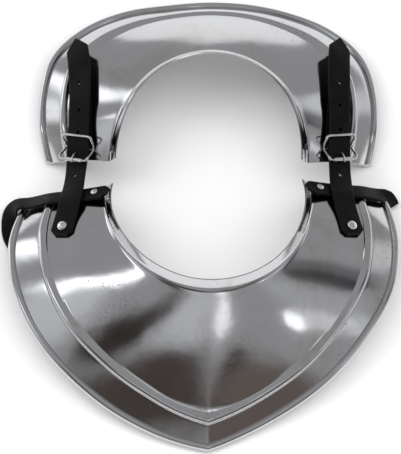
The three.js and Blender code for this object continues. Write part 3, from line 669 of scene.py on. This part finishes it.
def turned(profile, point, direction, segments=TURNED_SIDES):
    """A closed ring or solid turned about an axis through point; profile is (radius, height)."""
    direction = unit(direction)
    side = unit(np.cross(direction, ASKEW))
    other = np.cross(direction, side)
    points = []
    for j in range(segments):
        a = 2 * math.pi * j / segments
        spoke = side * math.cos(a) + other * math.sin(a)
        points += [point + spoke * max(r, LEAST_RADIUS) + direction * h for r, h in profile]
    count = len(profile)
    faces = sweep_faces(segments, count, closed=True)
    if profile[0][0] == 0:
        # A solid has no wall along its axis, only a small face at each end
        faces = [f for f in faces if not (f[1] % count == 0 and f[0] % count == count - 1)]
        for k in (0, count - 1):
            faces.append(tuple(k + count * j for j in range(segments)))
    return np.array(points), faces


def joined(*bodies):
    points, faces, first = [], [], 0
    for body_points, body_faces in bodies:
        points.append(body_points)
        faces += [tuple(i + first for i in face) for face in body_faces]
        first += len(body_points)
    return np.vstack(points), faces


def ring_profile(inner, outer, low, high, edge):
    """A ring's section, with its outer edges taken off."""
    return [(inner, low), (outer - edge, low), (outer, low + edge),
            (outer, high - edge), (outer - edge, high), (inner, high)]


def rod(start, end, radius, segments=ROD_SIDES):
    length = np.linalg.norm(end - start)
    return turned([(0, 0), (radius, 0), (radius, length), (0, length)], start, end - start, segments)


def rivet(place, thickness, head, plate_tree):
    """A domed rivet through a strip at a place on it, down to the far side of the plate."""
    top = place["middle"] + place["up"] * (thickness / 2 + GAP)
    inward = Vector(-place["up"])
    face = plate_tree.ray_cast(Vector(top), inward)[0]
    under = plate_tree.ray_cast(face + inward * JUST_INSIDE, inward)[0]
    depth = (under - Vector(top)).length + 2 * GAP
    rise = HEAD_RISE * head
    tail = TAIL_WIDTH * SHANK_RADIUS
    tail_rise = TAIL_RISE * SHANK_RADIUS
    dome = []
    for a in np.radians(np.linspace(0, DOME_ANGLE, DOME_POINTS)):
        dome.append((head * math.cos(a), HEAD_RIM + (rise - HEAD_RIM) * math.sin(a)))
    profile = [(0, -depth - tail_rise), (TAIL_FLAT * tail, -depth - tail_rise),
               (tail, -depth - TAIL_BEVEL * tail_rise), (tail, -depth), (SHANK_RADIUS, -depth),
               (SHANK_RADIUS, 0), (head - RIM_UNDERCUT, 0)] + dome + [(0, rise)]
    return turned(profile, top, place["up"])


def cut(piece, *bodies):
    """Takes closed bodies away from a piece."""
    points, faces = joined(*bodies)
    tool = make_mesh(piece.name + "_tool", points, faces, piece.data.materials[0])
    carve = piece.modifiers.new("cut", "BOOLEAN")
    carve.operation = "DIFFERENCE"
    carve.solver = "EXACT"
    carve.object = tool
    shaped = piece.evaluated_get(bpy.context.evaluated_depsgraph_get())
    mesh = bpy.data.meshes.new_from_object(shaped)
    piece.modifiers.clear()
    piece.data = mesh
    bpy.data.objects.remove(tool)
    mesh.shade_smooth()
    mesh.set_sharp_from_angle(angle=math.radians(HOLED_CREASE))
    return piece


# Sockets of a colour Mix node
MIX_FACTOR = 0
MIX_A = 6
MIX_B = 7
MIX_RESULT = 2


# Materials: small builder for procedural nodes
class Paint:
    def __init__(self, name):
        self.material = bpy.data.materials.new(name)
        self.material.use_nodes = True
        self.tree = self.material.node_tree
        self.shader = self.tree.nodes["Principled BSDF"]
        self.place = self.tree.nodes.new("ShaderNodeTexCoord").outputs["Object"]

    def node(self, kind, **values):
        made = self.tree.nodes.new(kind)
        for key, value in values.items():
            setattr(made, key, value)
        return made

    def join(self, source, target):
        self.tree.links.new(source, target)

    def scaled(self, scale, turn=(0, 0, 0)):
        mapping = self.node("ShaderNodeMapping")
        mapping.inputs["Scale"].default_value = scale
        mapping.inputs["Rotation"].default_value = turn
        self.join(self.place, mapping.inputs["Vector"])
        return mapping.outputs["Vector"]

    def noise(self, scale, detail=3.0, rough=0.5, place=None, twist=0.0):
        made = self.node("ShaderNodeTexNoise")
        made.inputs["Scale"].default_value = scale
        made.inputs["Detail"].default_value = detail
        made.inputs["Roughness"].default_value = rough
        made.inputs["Distortion"].default_value = twist
        self.join(place or self.place, made.inputs["Vector"])
        return made.outputs["Fac"]

    def cells(self, scale, feature="F1", place=None):
        made = self.node("ShaderNodeTexVoronoi", feature=feature)
        made.inputs["Scale"].default_value = scale
        self.join(place or self.place, made.inputs["Vector"])
        return made.outputs["Distance"]

    def ramp(self, value, *stops):
        made = self.node("ShaderNodeValToRGB")
        bar = made.color_ramp.elements
        while len(bar) < len(stops):
            bar.new(0.5)
        for stop, (at, grey) in zip(bar, stops):
            stop.position = at
            stop.color = (grey, grey, grey, 1) if isinstance(grey, (int, float)) else (*grey, 1)
        self.join(value, made.inputs["Fac"])
        return made.outputs["Color"]

    def math(self, operation, a, b):
        made = self.node("ShaderNodeMath", operation=operation)
        for socket, value in zip(made.inputs, (a, b)):
            if isinstance(value, (int, float)):
                socket.default_value = value
            else:
                self.join(value, socket)
        return made.outputs[0]

    def mix(self, factor, a, b, blend="MIX"):
        made = self.node("ShaderNodeMix", data_type="RGBA", blend_type=blend)
        sockets = [made.inputs[MIX_FACTOR], made.inputs[MIX_A], made.inputs[MIX_B]]
        for socket, value in zip(sockets, (factor, a, b)):
            if isinstance(value, (int, float)):
                socket.default_value = value
            elif isinstance(value, tuple):
                socket.default_value = (*value, 1)
            else:
                self.join(value, socket)
        return made.outputs[MIX_RESULT]

    def bump(self, height, distance, strength=1.0, under=None):
        made = self.node("ShaderNodeBump")
        made.inputs["Strength"].default_value = strength
        made.inputs["Distance"].default_value = distance
        self.join(height, made.inputs["Height"])
        if under:
            self.join(under, made.inputs["Normal"])
        return made.outputs["Normal"]

    def into(self, **sockets):
        for name, value in sockets.items():
            socket = self.shader.inputs[name.replace("_", " ")]
            if isinstance(value, (int, float)):
                socket.default_value = value
            elif isinstance(value, tuple):
                socket.default_value = (*value, 1)
            else:
                self.join(value, socket)
        return self.material


def polished_steel():
    p = Paint("polished_steel")
    cloud = p.noise(14, 4, 0.6, twist=0.6)
    patch = p.ramp(p.noise(19, 2, 0.5), (0.58, 0.0), (0.70, 1.0))
    speckle = p.ramp(p.noise(520, 3, 0.65), (0.56, 0.0), (0.66, 1.0))
    pits = p.math("MULTIPLY", patch, speckle)
    specks = p.ramp(p.cells(95), (0.05, 1.0), (0.085, 0.0))
    rare = p.ramp(p.noise(33, 1, 0.4), (0.57, 0.0), (0.60, 1.0))
    marks = p.math("MAXIMUM", p.math("MULTIPLY", pits, 0.8), p.math("MULTIPLY", specks, rare))
    brown = p.ramp(p.noise(11, 5, 0.62, twist=1.2), (0.55, 0.0), (0.74, 1.0))
    tint = p.mix(p.math("MULTIPLY", brown, 0.45), (0.63, 0.635, 0.645), (0.42, 0.36, 0.31))
    tint = p.mix(p.math("MULTIPLY", marks, 0.55), tint, (0.17, 0.145, 0.125))
    along = p.noise(1, 2, 0.5, place=p.scaled((30, 900, 300), (0, 0, 0.5)))
    cross = p.noise(1, 2, 0.5, place=p.scaled((800, 26, 300), (0, 0, 0.3)))
    brushed = p.mix(0.5, along, cross)
    gloss = p.ramp(cloud, (0.30, 0.07), (0.62, 0.14))
    gloss = p.mix(p.math("MULTIPLY", marks, 0.8), gloss, (0.34, 0.34, 0.34))
    waves = p.bump(p.noise(24, 3, 0.5), 0.0006, 0.45)
    fine = p.bump(brushed, 0.00002, 0.35, waves)
    deep = p.bump(p.math("SUBTRACT", 1.0, marks), 0.00002, 0.3, fine)
    return p.into(Base_Color=tint, Metallic=1.0, Roughness=gloss, Normal=deep)


def nickel(name, tint, rough):
    p = Paint(name)
    dull = p.ramp(p.noise(230, 4, 0.6), (0.45, 0.0), (0.75, 1.0))
    colour = p.mix(p.math("MULTIPLY", dull, 0.5), tint, (0.30, 0.28, 0.25))
    gloss = p.ramp(p.noise(310, 3, 0.6), (0.30, rough), (0.75, rough + 0.16))
    fine = p.bump(p.noise(1400, 2, 0.5), 0.00002, 0.5)
    return p.into(Base_Color=colour, Metallic=1.0, Roughness=gloss, Normal=fine)


# base is the leather's own colour; the second colour is that of its rubbed wear and of a painted highlight
# along its edges
def black_leather(name, base, worn_and_highlight):
    p = Paint(name)
    grain = p.cells(1500, "SMOOTH_F1")
    fibre = p.noise(700, 4, 0.6)
    crease = p.ramp(p.noise(1, 3, 0.6, place=p.scaled((70, 420, 200))), (0.42, 1.0), (0.52, 0.0))
    rub = p.ramp(p.noise(90, 4, 0.65), (0.50, 0.0), (0.78, 1.0))
    # Painted highlight: the colour is lighter along the strip's rounded edges, where pointiness is high; the
    # rub noise above is real wear
    edge = p.ramp(p.node("ShaderNodeNewGeometry").outputs["Pointiness"], (0.505, 0.0), (0.56, 1.0))
    wear_and_edge_highlight = p.math("MAXIMUM", p.math("MULTIPLY", rub, 0.35), p.math("MULTIPLY", edge, 0.6))
    colour = p.mix(wear_and_edge_highlight, base, worn_and_highlight)
    colour = p.mix(p.math("MULTIPLY", fibre, 0.5), colour, tuple(0.5 * c for c in base), "MULTIPLY")
    gloss = p.ramp(fibre, (0.30, 0.40), (0.72, 0.60))
    large = p.bump(p.noise(60, 3, 0.5), 0.0006, 0.4)
    creases = p.bump(crease, 0.0002, 0.25, large)
    fine = p.bump(grain, 0.00012, 0.7, creases)
    return p.into(Base_Color=colour, Roughness=gloss, Normal=fine, Specular_IOR_Level=0.16)


STEEL = polished_steel()
RIVET = nickel("rivet_nickel", (0.92, 0.92, 0.91), 0.10)
WIRE = nickel("buckle_nickel", (0.88, 0.88, 0.87), 0.12)
ROLLER = nickel("roller_nickel", (0.95, 0.95, 0.95), 0.16)
STRAP = black_leather("strap_leather", (0.0022, 0.0020, 0.0019), (0.016, 0.014, 0.012))
CHAPE = black_leather("chape_leather", (0.0020, 0.0018, 0.0017), (0.014, 0.012, 0.010))
ARMING = black_leather("arming_strap_leather", (0.0022, 0.0020, 0.0018), (0.020, 0.018, 0.014))


# The plates come first: they set how far the plates' own axes are from the frame's
def middle_of(points):
    return (points.min(axis=0) + points.max(axis=0)) / 2


front_points, front_faces = plate_points(FRONT, FRONT_STEPS, FRONT_SEED)
back_points, back_faces = plate_points(BACK, BACK_STEPS, BACK_SEED)
front_low, front_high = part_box("front_plate")
CAD_MIDDLE = np.array((front_low + front_high) / 2) / MM
SHIFT = CAD_MIDDLE - middle_of(front_points)


def add(name, body, material, crease=METAL_CREASE):
    piece = make_mesh(name + "_look", body[0], body[1], material, crease)
    return finish_piece(piece, name)


def finish_piece(piece, name):
    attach(piece, "root")
    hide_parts(name)
    return piece


add("front_plate", (front_points, front_faces), STEEL)
add("back_plate", (back_points, back_faces), STEEL)
FRONT_TREE = tree_of(front_points, front_faces)
BACK_TREE = tree_of(back_points, back_faces)


# Arming straps: where they start and end along the plate's end, as shares of its length from the neck,
# how many steps before its end the fall takes over from the laid part, and the fall's steps
ARMING_START = -0.02
ARMING_END = 1.06
FALL_LEAD = 6
FALL_STEPS = 60
TURN_PASSES = 14


def arming_stations(side):
    sign, _, fall = SIDES[side]
    neck, edge, _ = plate_station(FRONT, sign)
    start = neck + (edge - neck) * ARMING_START
    end = neck + (edge - neck) * ARMING_END
    setback = np.array([0, ARMING_SETBACK])
    plan = [(start + (end - start) * share)[:2] - setback for share in (0, 0.33, 0.67, 1)]
    laid = lay_soft(plan, ARMING_WIDTH, ARMING_THICKNESS, [FRONT_TREE], SHORT_STEPS)
    corner = np.array([edge[0], edge[1], 0])
    tail = [corner + ARMING_WIDTH * np.array([sign * out, along, up]) for out, along, up, _ in fall]
    guide = [laid[-1 - FALL_LEAD]["middle"], laid[-1]["middle"]] + tail
    curve = smooth_path(guide, FALL_STEPS)
    lead_tilt = math.degrees(math.asin(laid[-1]["across"][2]))
    knots = [(0, lead_tilt), (1, lead_tilt)] + [(i + 2, sign * row[3]) for i, row in enumerate(fall)]
    ways = distances_along(guide)
    stations = laid[:-1]
    for share, middle, run in zip(np.linspace(0, 1, FALL_STEPS + 1), curve, directions(curve)):
        at = float(np.interp(share * ways[-1], ways, np.arange(len(ways))))
        if at < 1:
            continue
        level = unit(np.array([run[1], -run[0], 0]))
        lift = unit(np.cross(level, run))
        tilt = math.radians(smooth_value(knots, at))
        across = level * math.cos(tilt) + lift * math.sin(tilt)
        stations.append(station(middle, run, across, unit(np.cross(across, run))))
    return soften_turn(stations, len(laid) - FALL_LEAD - 2)


def soften_turn(stations, first):
    """Evens out the bend where a laid strap starts to fall."""
    middles = np.array([s["middle"] for s in stations])
    acrosses = np.array([s["across"] for s in stations])
    for _ in range(TURN_PASSES):
        for rows in (middles, acrosses):
            rows[first:-1] = (rows[first - 1:-2] + 2 * rows[first:-1] + rows[first + 1:]) / 4
    result = []
    for middle, run, across in zip(middles, directions(middles), acrosses):
        up = unit(np.cross(across, run))
        result.append(station(middle, run, unit(np.cross(run, up)), up))
    return result


# Buckle frame: points round the wire, and the shares of half its length between which the wire rises
WIRE_POINTS = 168
LIFT_START = 0.15
LIFT_END = 0.78

# Roller: its length in widths of the frame, and how much of its edge is taken off
ROLLER_SHARE = 0.62
ROLLER_EDGE = 0.28

# Tongue: half its eye's width in tongue radii, the eye's wall and edge, where the arm starts outside the
# bar, the arm's steps and taper, and the hole that it goes through, in buckle lengths from the bar
EYE_HALF = 1.4
EYE_WALL = 1.2
EYE_EDGE = 0.4
ARM_START = 0.6
ARM_STEPS = 40
ARM_TAPER = 0.3
TONGUE_HOLE = 0.38

# How much is taken off the edge of the chape's loop
LOOP_EDGE = 0.5


def buckle_bar(side):
    """The centre bar's place and directions: run to the back, across to the side, up."""
    sign, buckle_lean, _ = SIDES[side]
    share = (BUCKLE_ALONG - STRAP_START) / STRAP_RUN
    x = STRAP_SPREAD * smooth_value([(along, across) for across, along in STRAP_ROUTES[side]], share)
    x += sign * BUCKLE_SHIFT
    lean = math.radians(buckle_lean)
    run = np.array([math.sin(lean), math.cos(lean), 0])
    across = np.array([run[1], -run[0], 0])
    ring = WIRE_RADIUS + GAP + CHAPE_LAYER
    def height(d, a):
        spot = np.array([x, BUCKLE_ALONG, 0]) + across * d + run * a
        return height_at([BACK_TREE], spot[0], spot[1])
    half = CHAPE_WIDTH / 2
    tilt = (height(half, 0) - height(-half, 0)) / CHAPE_WIDTH
    pitch = (height(0, half) - height(0, 0)) / half
    levels = [height(k * half, 0) - k * half * tilt for k in (-1, 0, 1)]
    across = unit(np.array([across[0], across[1], tilt]))
    run = unit(np.array([run[0], run[1], pitch]))
    up = unit(np.cross(across, run))
    run = unit(np.cross(up, across))
    bar_rise = ring + 2 * GAP
    strap_rise = bar_rise + ring + 1.5 * GAP + STRAP_THICKNESS / 2
    middle = np.array([x, BUCKLE_ALONG, max(levels) + strap_rise / up[2]]) + up * (bar_rise - strap_rise)
    return {"sign": sign, "middle": middle, "run": run, "across": across, "up": up, "ring": ring}


def in_buckle(bar, along, across, up):
    return bar["middle"] + bar["run"] * along + bar["across"] * across + bar["up"] * up


def chape_bodies(bar):
    heading = unit(np.array([bar["run"][0], bar["run"][1]]))
    plan = []
    for share in (0, 0.4, 0.75, 1):
        spot = bar["middle"][:2] + heading * CHAPE_LENGTH * share
        plan.append(spot + np.array([bar["sign"] * CHAPE_WIDTH * CHAPE_CURVE * share * share, 0]))
    thickness = 2 * CHAPE_LAYER
    laid = lay_soft(plan, CHAPE_WIDTH, thickness, [BACK_TREE], SHORT_STEPS)
    spaced = resample(laid, end_spacing(run_lengths(laid)[-1], PLAIN_END, STRAP_CLIP))
    tab = strip_body(spaced, CHAPE_WIDTH, thickness, chape_ends)
    half = CHAPE_WIDTH / 2
    profile = ring_profile(WIRE_RADIUS + GAP, bar["ring"], -half, half, LOOP_EDGE)
    loop = turned(profile, bar["middle"], bar["across"])
    return laid, tab, loop


def strap_top_over(bar, stations, along, reach):
    """The strap's highest point over a line across the buckle, from the bar along its up direction."""
    top = -np.inf
    for s in stations:
        for d in (-0.5, 0, 0.5):
            spot = s["middle"] + s["across"] * STRAP_WIDTH * d
            point = spot + s["up"] * STRAP_THICKNESS / 2 - bar["middle"]
            if abs(point.dot(bar["run"]) - along) < reach:
                top = max(top, point.dot(bar["up"]))
    return top


def smooth_step(x, low, high):
    s = min(max((x - low) / (high - low), 0), 1)
    return s * s * (3 - 2 * s)


def tongue_bodies(bar, roller_up):
    """The tongue, and the room that it needs in the strap."""
    half = BUCKLE_LENGTH / 2
    inner = WIRE_RADIUS + GAP
    eye_half = EYE_HALF * TONGUE_RADIUS
    profile = ring_profile(inner, inner + EYE_WALL, 0, 2 * eye_half, EYE_EDGE)
    eye = turned(profile, in_buckle(bar, 0, -eye_half, 0), bar["across"])
    start = inner + ARM_START
    tip_up = roller_up + ROLLER_RADIUS + GAP + TONGUE_RADIUS
    route = [
        (-0.8 * start, 0.6 * start), (-0.5 * half, 0.62 * tip_up), (-0.85 * half, 0.97 * tip_up),
        (-half - 0.3 * ROLLER_RADIUS, tip_up), (-half - 1.1 * ROLLER_RADIUS, tip_up - 0.4 * TONGUE_RADIUS),
    ]
    arm = smooth_path([in_buckle(bar, along, 0, up) for along, up in route], ARM_STEPS)
    radii = [TONGUE_RADIUS * (1 - ARM_TAPER * (i / ARM_STEPS) ** 3) for i in range(ARM_STEPS + 1)]
    tongue = joined(eye, tube(arm, radii, closed=False))
    return tongue, tube(arm, [TONGUE_RADIUS + 2 * GAP] * len(arm), closed=False)


def buckle_bodies(bar, stations):
    """The frame with its centre bar, the roller, the tongue, and the room that the tongue needs."""
    half = BUCKLE_LENGTH / 2
    keeper_up = strap_top_over(bar, stations, half, WIRE_RADIUS) + GAP + WIRE_RADIUS
    roller_up = strap_top_over(bar, stations, -half, ROLLER_RADIUS) + GAP + ROLLER_RADIUS
    ring = []
    for along, across in BUCKLE_ROWS + [(a, -c) for a, c in BUCKLE_ROWS[-2:0:-1]]:
        end = keeper_up if along > 0 else roller_up
        lift = end * smooth_step(abs(along), LIFT_START, LIFT_END)
        ring.append(in_buckle(bar, along * half, across * BUCKLE_HALF_WIDTH, lift))
    path = smooth_path(ring, WIRE_POINTS, closed=True)
    frame_wire = tube(path, [WIRE_RADIUS] * len(path), closed=True)
    left_end = in_buckle(bar, 0, -BUCKLE_HALF_WIDTH, 0)
    right_end = in_buckle(bar, 0, BUCKLE_HALF_WIDTH, 0)
    length = 2 * ROLLER_SHARE * BUCKLE_HALF_WIDTH
    profile = ring_profile(WIRE_RADIUS + GAP, ROLLER_RADIUS, 0, length, ROLLER_EDGE)
    roller = turned(profile, in_buckle(bar, -half, -length / 2, roller_up), bar["across"])
    tongue, clearance = tongue_bodies(bar, roller_up)
    return joined(frame_wire, rod(left_end, right_end, WIRE_RADIUS)), roller, tongue, clearance


def build_arming(side):
    """An arming strap and its rivet; returns the strap's body."""
    laid = arming_stations(side)
    spaced = resample(laid, end_spacing(run_lengths(laid)[-1], ARMING_CLIP, PLAIN_END))
    body = strip_body(spaced, ARMING_WIDTH, ARMING_THICKNESS, arming_ends)
    add("arming_strap_" + side, body, ARMING, LEATHER_CREASE)
    spot = resample(laid, [ARMING_RIVET_SETBACK])[0]
    add("arming_rivet_" + side, rivet(spot, ARMING_THICKNESS, ARMING_RIVET_HEAD, FRONT_TREE), RIVET)
    return body


def build_chape(side, bar):
    """A chape with its loop round the bar, and its hidden rivet; returns their bodies."""
    laid, tab, loop = chape_bodies(bar)
    add("chape_" + side, joined(tab, loop), CHAPE, LEATHER_CREASE)
    spot = resample(laid, [CHAPE_LENGTH - CHAPE_RIVET_SETBACK])[0]
    rivet_body = rivet(spot, 2 * CHAPE_LAYER, CHAPE_RIVET_HEAD, BACK_TREE)
    add("chape_rivet_" + side, rivet_body, RIVET)
    return [tab, loop, rivet_body]


def build_strap(side, bar, bodies_below):
    """A long strap over the bodies below it, with its holes, its rivet and its buckle."""
    route = STRAP_ROUTES[side]
    plan = [(STRAP_SPREAD * across, STRAP_START + STRAP_RUN * along) for across, along in route]
    below = [FRONT_TREE, BACK_TREE] + [tree_of(*body) for body in bodies_below]
    laid = lay_soft(plan, STRAP_WIDTH, STRAP_THICKNESS, below, LONG_STEPS, STRAP_FREE_END)
    lengths = run_lengths(laid)
    spaced = resample(laid, end_spacing(lengths[-1], STRAP_CLIP, STRAP_TIP))
    body = strip_body(spaced, STRAP_WIDTH, STRAP_THICKNESS, strap_ends)
    frame_body, roller, tongue, clearance = buckle_bodies(bar, laid)
    hole_at = in_buckle(bar, -TONGUE_HOLE * BUCKLE_LENGTH, 0, 0)
    nearest = int(np.argmin([np.hypot(*(s["middle"] - hole_at)[:2]) for s in laid]))
    tools = [clearance]
    for k in STRAP_HOLES[side]:
        spot = resample(laid, [lengths[nearest] + k * STRAP_HOLE_PITCH])[0]
        reach = spot["up"] * STRAP_THICKNESS
        tools.append(rod(spot["middle"] - reach, spot["middle"] + reach, STRAP_HOLE_RADIUS, HOLE_SIDES))
    strap = make_mesh("strap_" + side + "_look", *body, STRAP, LEATHER_CREASE)
    finish_piece(cut(strap, *tools), "strap_" + side)
    spot = resample(laid, [STRAP_RIVET_SETBACK])[0]
    add("strap_rivet_" + side, rivet(spot, STRAP_THICKNESS, STRAP_RIVET_HEAD, FRONT_TREE), RIVET)
    add("buckle_frame_" + side, frame_body, WIRE)
    add("buckle_roller_" + side, roller, ROLLER)
    add("buckle_tongue_" + side, tongue, WIRE)


for side in SIDES:
    arming_body = build_arming(side)
    bar = buckle_bar(side)
    build_strap(side, bar, [arming_body] + build_chape(side, bar))


# Floor, light and camera
def floor_material():
    p = Paint("floor_white")
    tone = p.ramp(p.noise(3, 3, 0.5), (0.3, (0.90, 0.90, 0.90)), (0.7, (0.93, 0.93, 0.93)))
    return p.into(Base_Color=tone, Roughness=0.85)


FLOOR_HALF = 6


def make_floor():
    mesh = bpy.data.meshes.new("floor")
    corners = [(FLOOR_HALF * x, FLOOR_HALF * y, 0) for x, y in ((-1, -1), (1, -1), (1, 1), (-1, 1))]
    mesh.from_pydata(corners, [], [(0, 1, 2, 3)])
    mesh.materials.append(floor_material())
    floor = bpy.data.objects.new("floor", mesh)
    bpy.context.scene.collection.objects.link(floor)


make_floor()


def look_at(thing, place, target):
    thing.location = place
    thing.rotation_euler = (Vector(target) - Vector(place)).to_track_quat("-Z", "Y").to_euler()


def soft_box(name, place, target, width, height, radiance):
    """A lamp that lights the table and the leather, and isn't mirrored in the steel."""
    light = bpy.data.lights.new(name, "AREA")
    light.shape = "RECTANGLE"
    light.size = width
    light.size_y = height
    light.energy = radiance * math.pi * width * height
    thing = bpy.data.objects.new(name, light)
    bpy.context.scene.collection.objects.link(thing)
    look_at(thing, place, target)
    thing.visible_glossy = False


# Place and target in metres, width, height and radiance
soft_box("box_left", (-1.3, 0.5, 1.7), (0, 0, 0), 1.6, 1.2, 2.5)
soft_box("box_right", (1.4, 0.2, 1.6), (0, 0, 0), 1.4, 1.2, 2.2)
soft_box("box_top", (0.1, 0.3, 2.2), (0, 0, 0), 2.0, 1.6, 1.7)
soft_box("box_front", (-0.1, -1.5, 1.3), (0, 0.05, 0), 2.2, 1.0, 1.6)

# What the steel mirrors, seen from the table: a grey room with lamps, pale walls and dark corners.
# Each patch is (x, y) of its direction, its half sizes, its turn in degrees, its brightness and its tint.
ROOM_GREY = 0.36
ROOM_BLUE = 1.02
ROOM = [
    ((-0.72, -0.10), 0.28, 0.30, 0, 0.66, "cool"),
    ((-0.58, 0.035), 0.32, 0.075, -19, 2.3, "cool"),
    ((0.69, 0.07), 0.25, 0.18, 0, 0.16, "cool"),
    ((0.68, 0.00), 0.23, 0.08, 0, 0.04, "cool"),
    ((0.60, -0.19), 0.30, 0.14, 0, 0.48, "cool"),
    ((0.68, -0.33), 0.26, 0.07, 12, 0.85, "cool"),
    ((0.53, -0.385), 0.052, 0.042, 0, 3.2, "cool"),
    ((-0.33, -0.64), 0.52, 0.18, 0, 0.06, "warm"),
    ((0.36, -0.70), 0.45, 0.16, 0, 0.12, "warm"),
    ((-0.44, -0.38), 0.25, 0.13, 28, 0.035, "warm"),
    ((-0.10, -0.43), 0.28, 0.12, 0, 0.62, "cool"),
    ((0.12, -0.44), 0.08, 0.10, -12, 1.7, "cool"),
    ((0.22, -0.60), 0.12, 0.07, 10, 0.06, "warm"),
    ((-0.76, 0.52), 0.10, 0.22, 0, 1.8, "cool"),
    ((-0.92, 0.40), 0.10, 0.26, 0, 1.2, "cool"),
    ((0.84, 0.38), 0.12, 0.26, 0, 0.75, "cool"),
]
TINTS = {"cool": (0.99, 1.0, 1.03), "warm": (1.20, 0.96, 0.86)}

# How far in from its outline a patch fades, and its half size in height, so that height hardly counts
PATCH_FADE = 0.6
PATCH_HEIGHT = 1000


def light_room():
    world = bpy.data.worlds.new("studio")
    bpy.context.scene.world = world
    world.use_nodes = True
    nodes, links = world.node_tree.nodes, world.node_tree.links
    way = nodes.new("ShaderNodeTexCoord").outputs["Generated"]
    colour = nodes.new("ShaderNodeRGB").outputs[0]
    colour.default_value = (ROOM_GREY, ROOM_GREY, ROOM_BLUE * ROOM_GREY, 1)
    for (x, y), half_x, half_y, turn, level, tint in ROOM:
        patch = nodes.new("ShaderNodeMapping")
        patch.vector_type = "TEXTURE"
        patch.inputs["Location"].default_value = (x, y, 0)
        patch.inputs["Rotation"].default_value = (0, 0, math.radians(turn))
        patch.inputs["Scale"].default_value = (half_x, half_y, PATCH_HEIGHT)
        links.new(way, patch.inputs["Vector"])
        ball = nodes.new("ShaderNodeTexGradient")
        ball.gradient_type = "SPHERICAL"
        links.new(patch.outputs["Vector"], ball.inputs["Vector"])
        soft = nodes.new("ShaderNodeMapRange")
        soft.interpolation_type = "SMOOTHSTEP"
        soft.inputs["From Max"].default_value = PATCH_FADE
        links.new(ball.outputs["Fac"], soft.inputs["Value"])
        blend = nodes.new("ShaderNodeMix")
        blend.data_type = "RGBA"
        links.new(soft.outputs["Result"], blend.inputs[MIX_FACTOR])
        links.new(colour, blend.inputs[MIX_A])
        blend.inputs[MIX_B].default_value = (*[level * c for c in TINTS[tint]], 1)
        colour = blend.outputs[MIX_RESULT]
    links.new(colour, nodes["Background"].inputs["Color"])


light_room()

# The camera: degrees above the table, metres away, the picture's height there in metres, the sensor's height
# in millimetres, and where it looks, in millimetres in the plates' own axes
CAMERA_ELEVATION = 67
CAMERA_DISTANCE = 6.0
VIEW_HEIGHT = 0.375
SENSOR_HEIGHT = 24
TARGET_PLACE = np.array([-6.2, 0, 0])
TARGET = Vector((SHIFT + TARGET_PLACE) * MM)

camera = bpy.data.cameras.new("camera")
camera.sensor_fit = "VERTICAL"
camera.sensor_height = SENSOR_HEIGHT
camera.lens = CAMERA_DISTANCE * camera.sensor_height / VIEW_HEIGHT
camera_object = bpy.data.objects.new("camera", camera)
bpy.context.scene.collection.objects.link(camera_object)
tilt = math.radians(CAMERA_ELEVATION)
look_at(camera_object, TARGET + CAMERA_DISTANCE * Vector((0, -math.cos(tilt), math.sin(tilt))), TARGET)
bpy.context.scene.camera = camera_object
bpy.context.scene.view_settings.view_transform = "Standard"
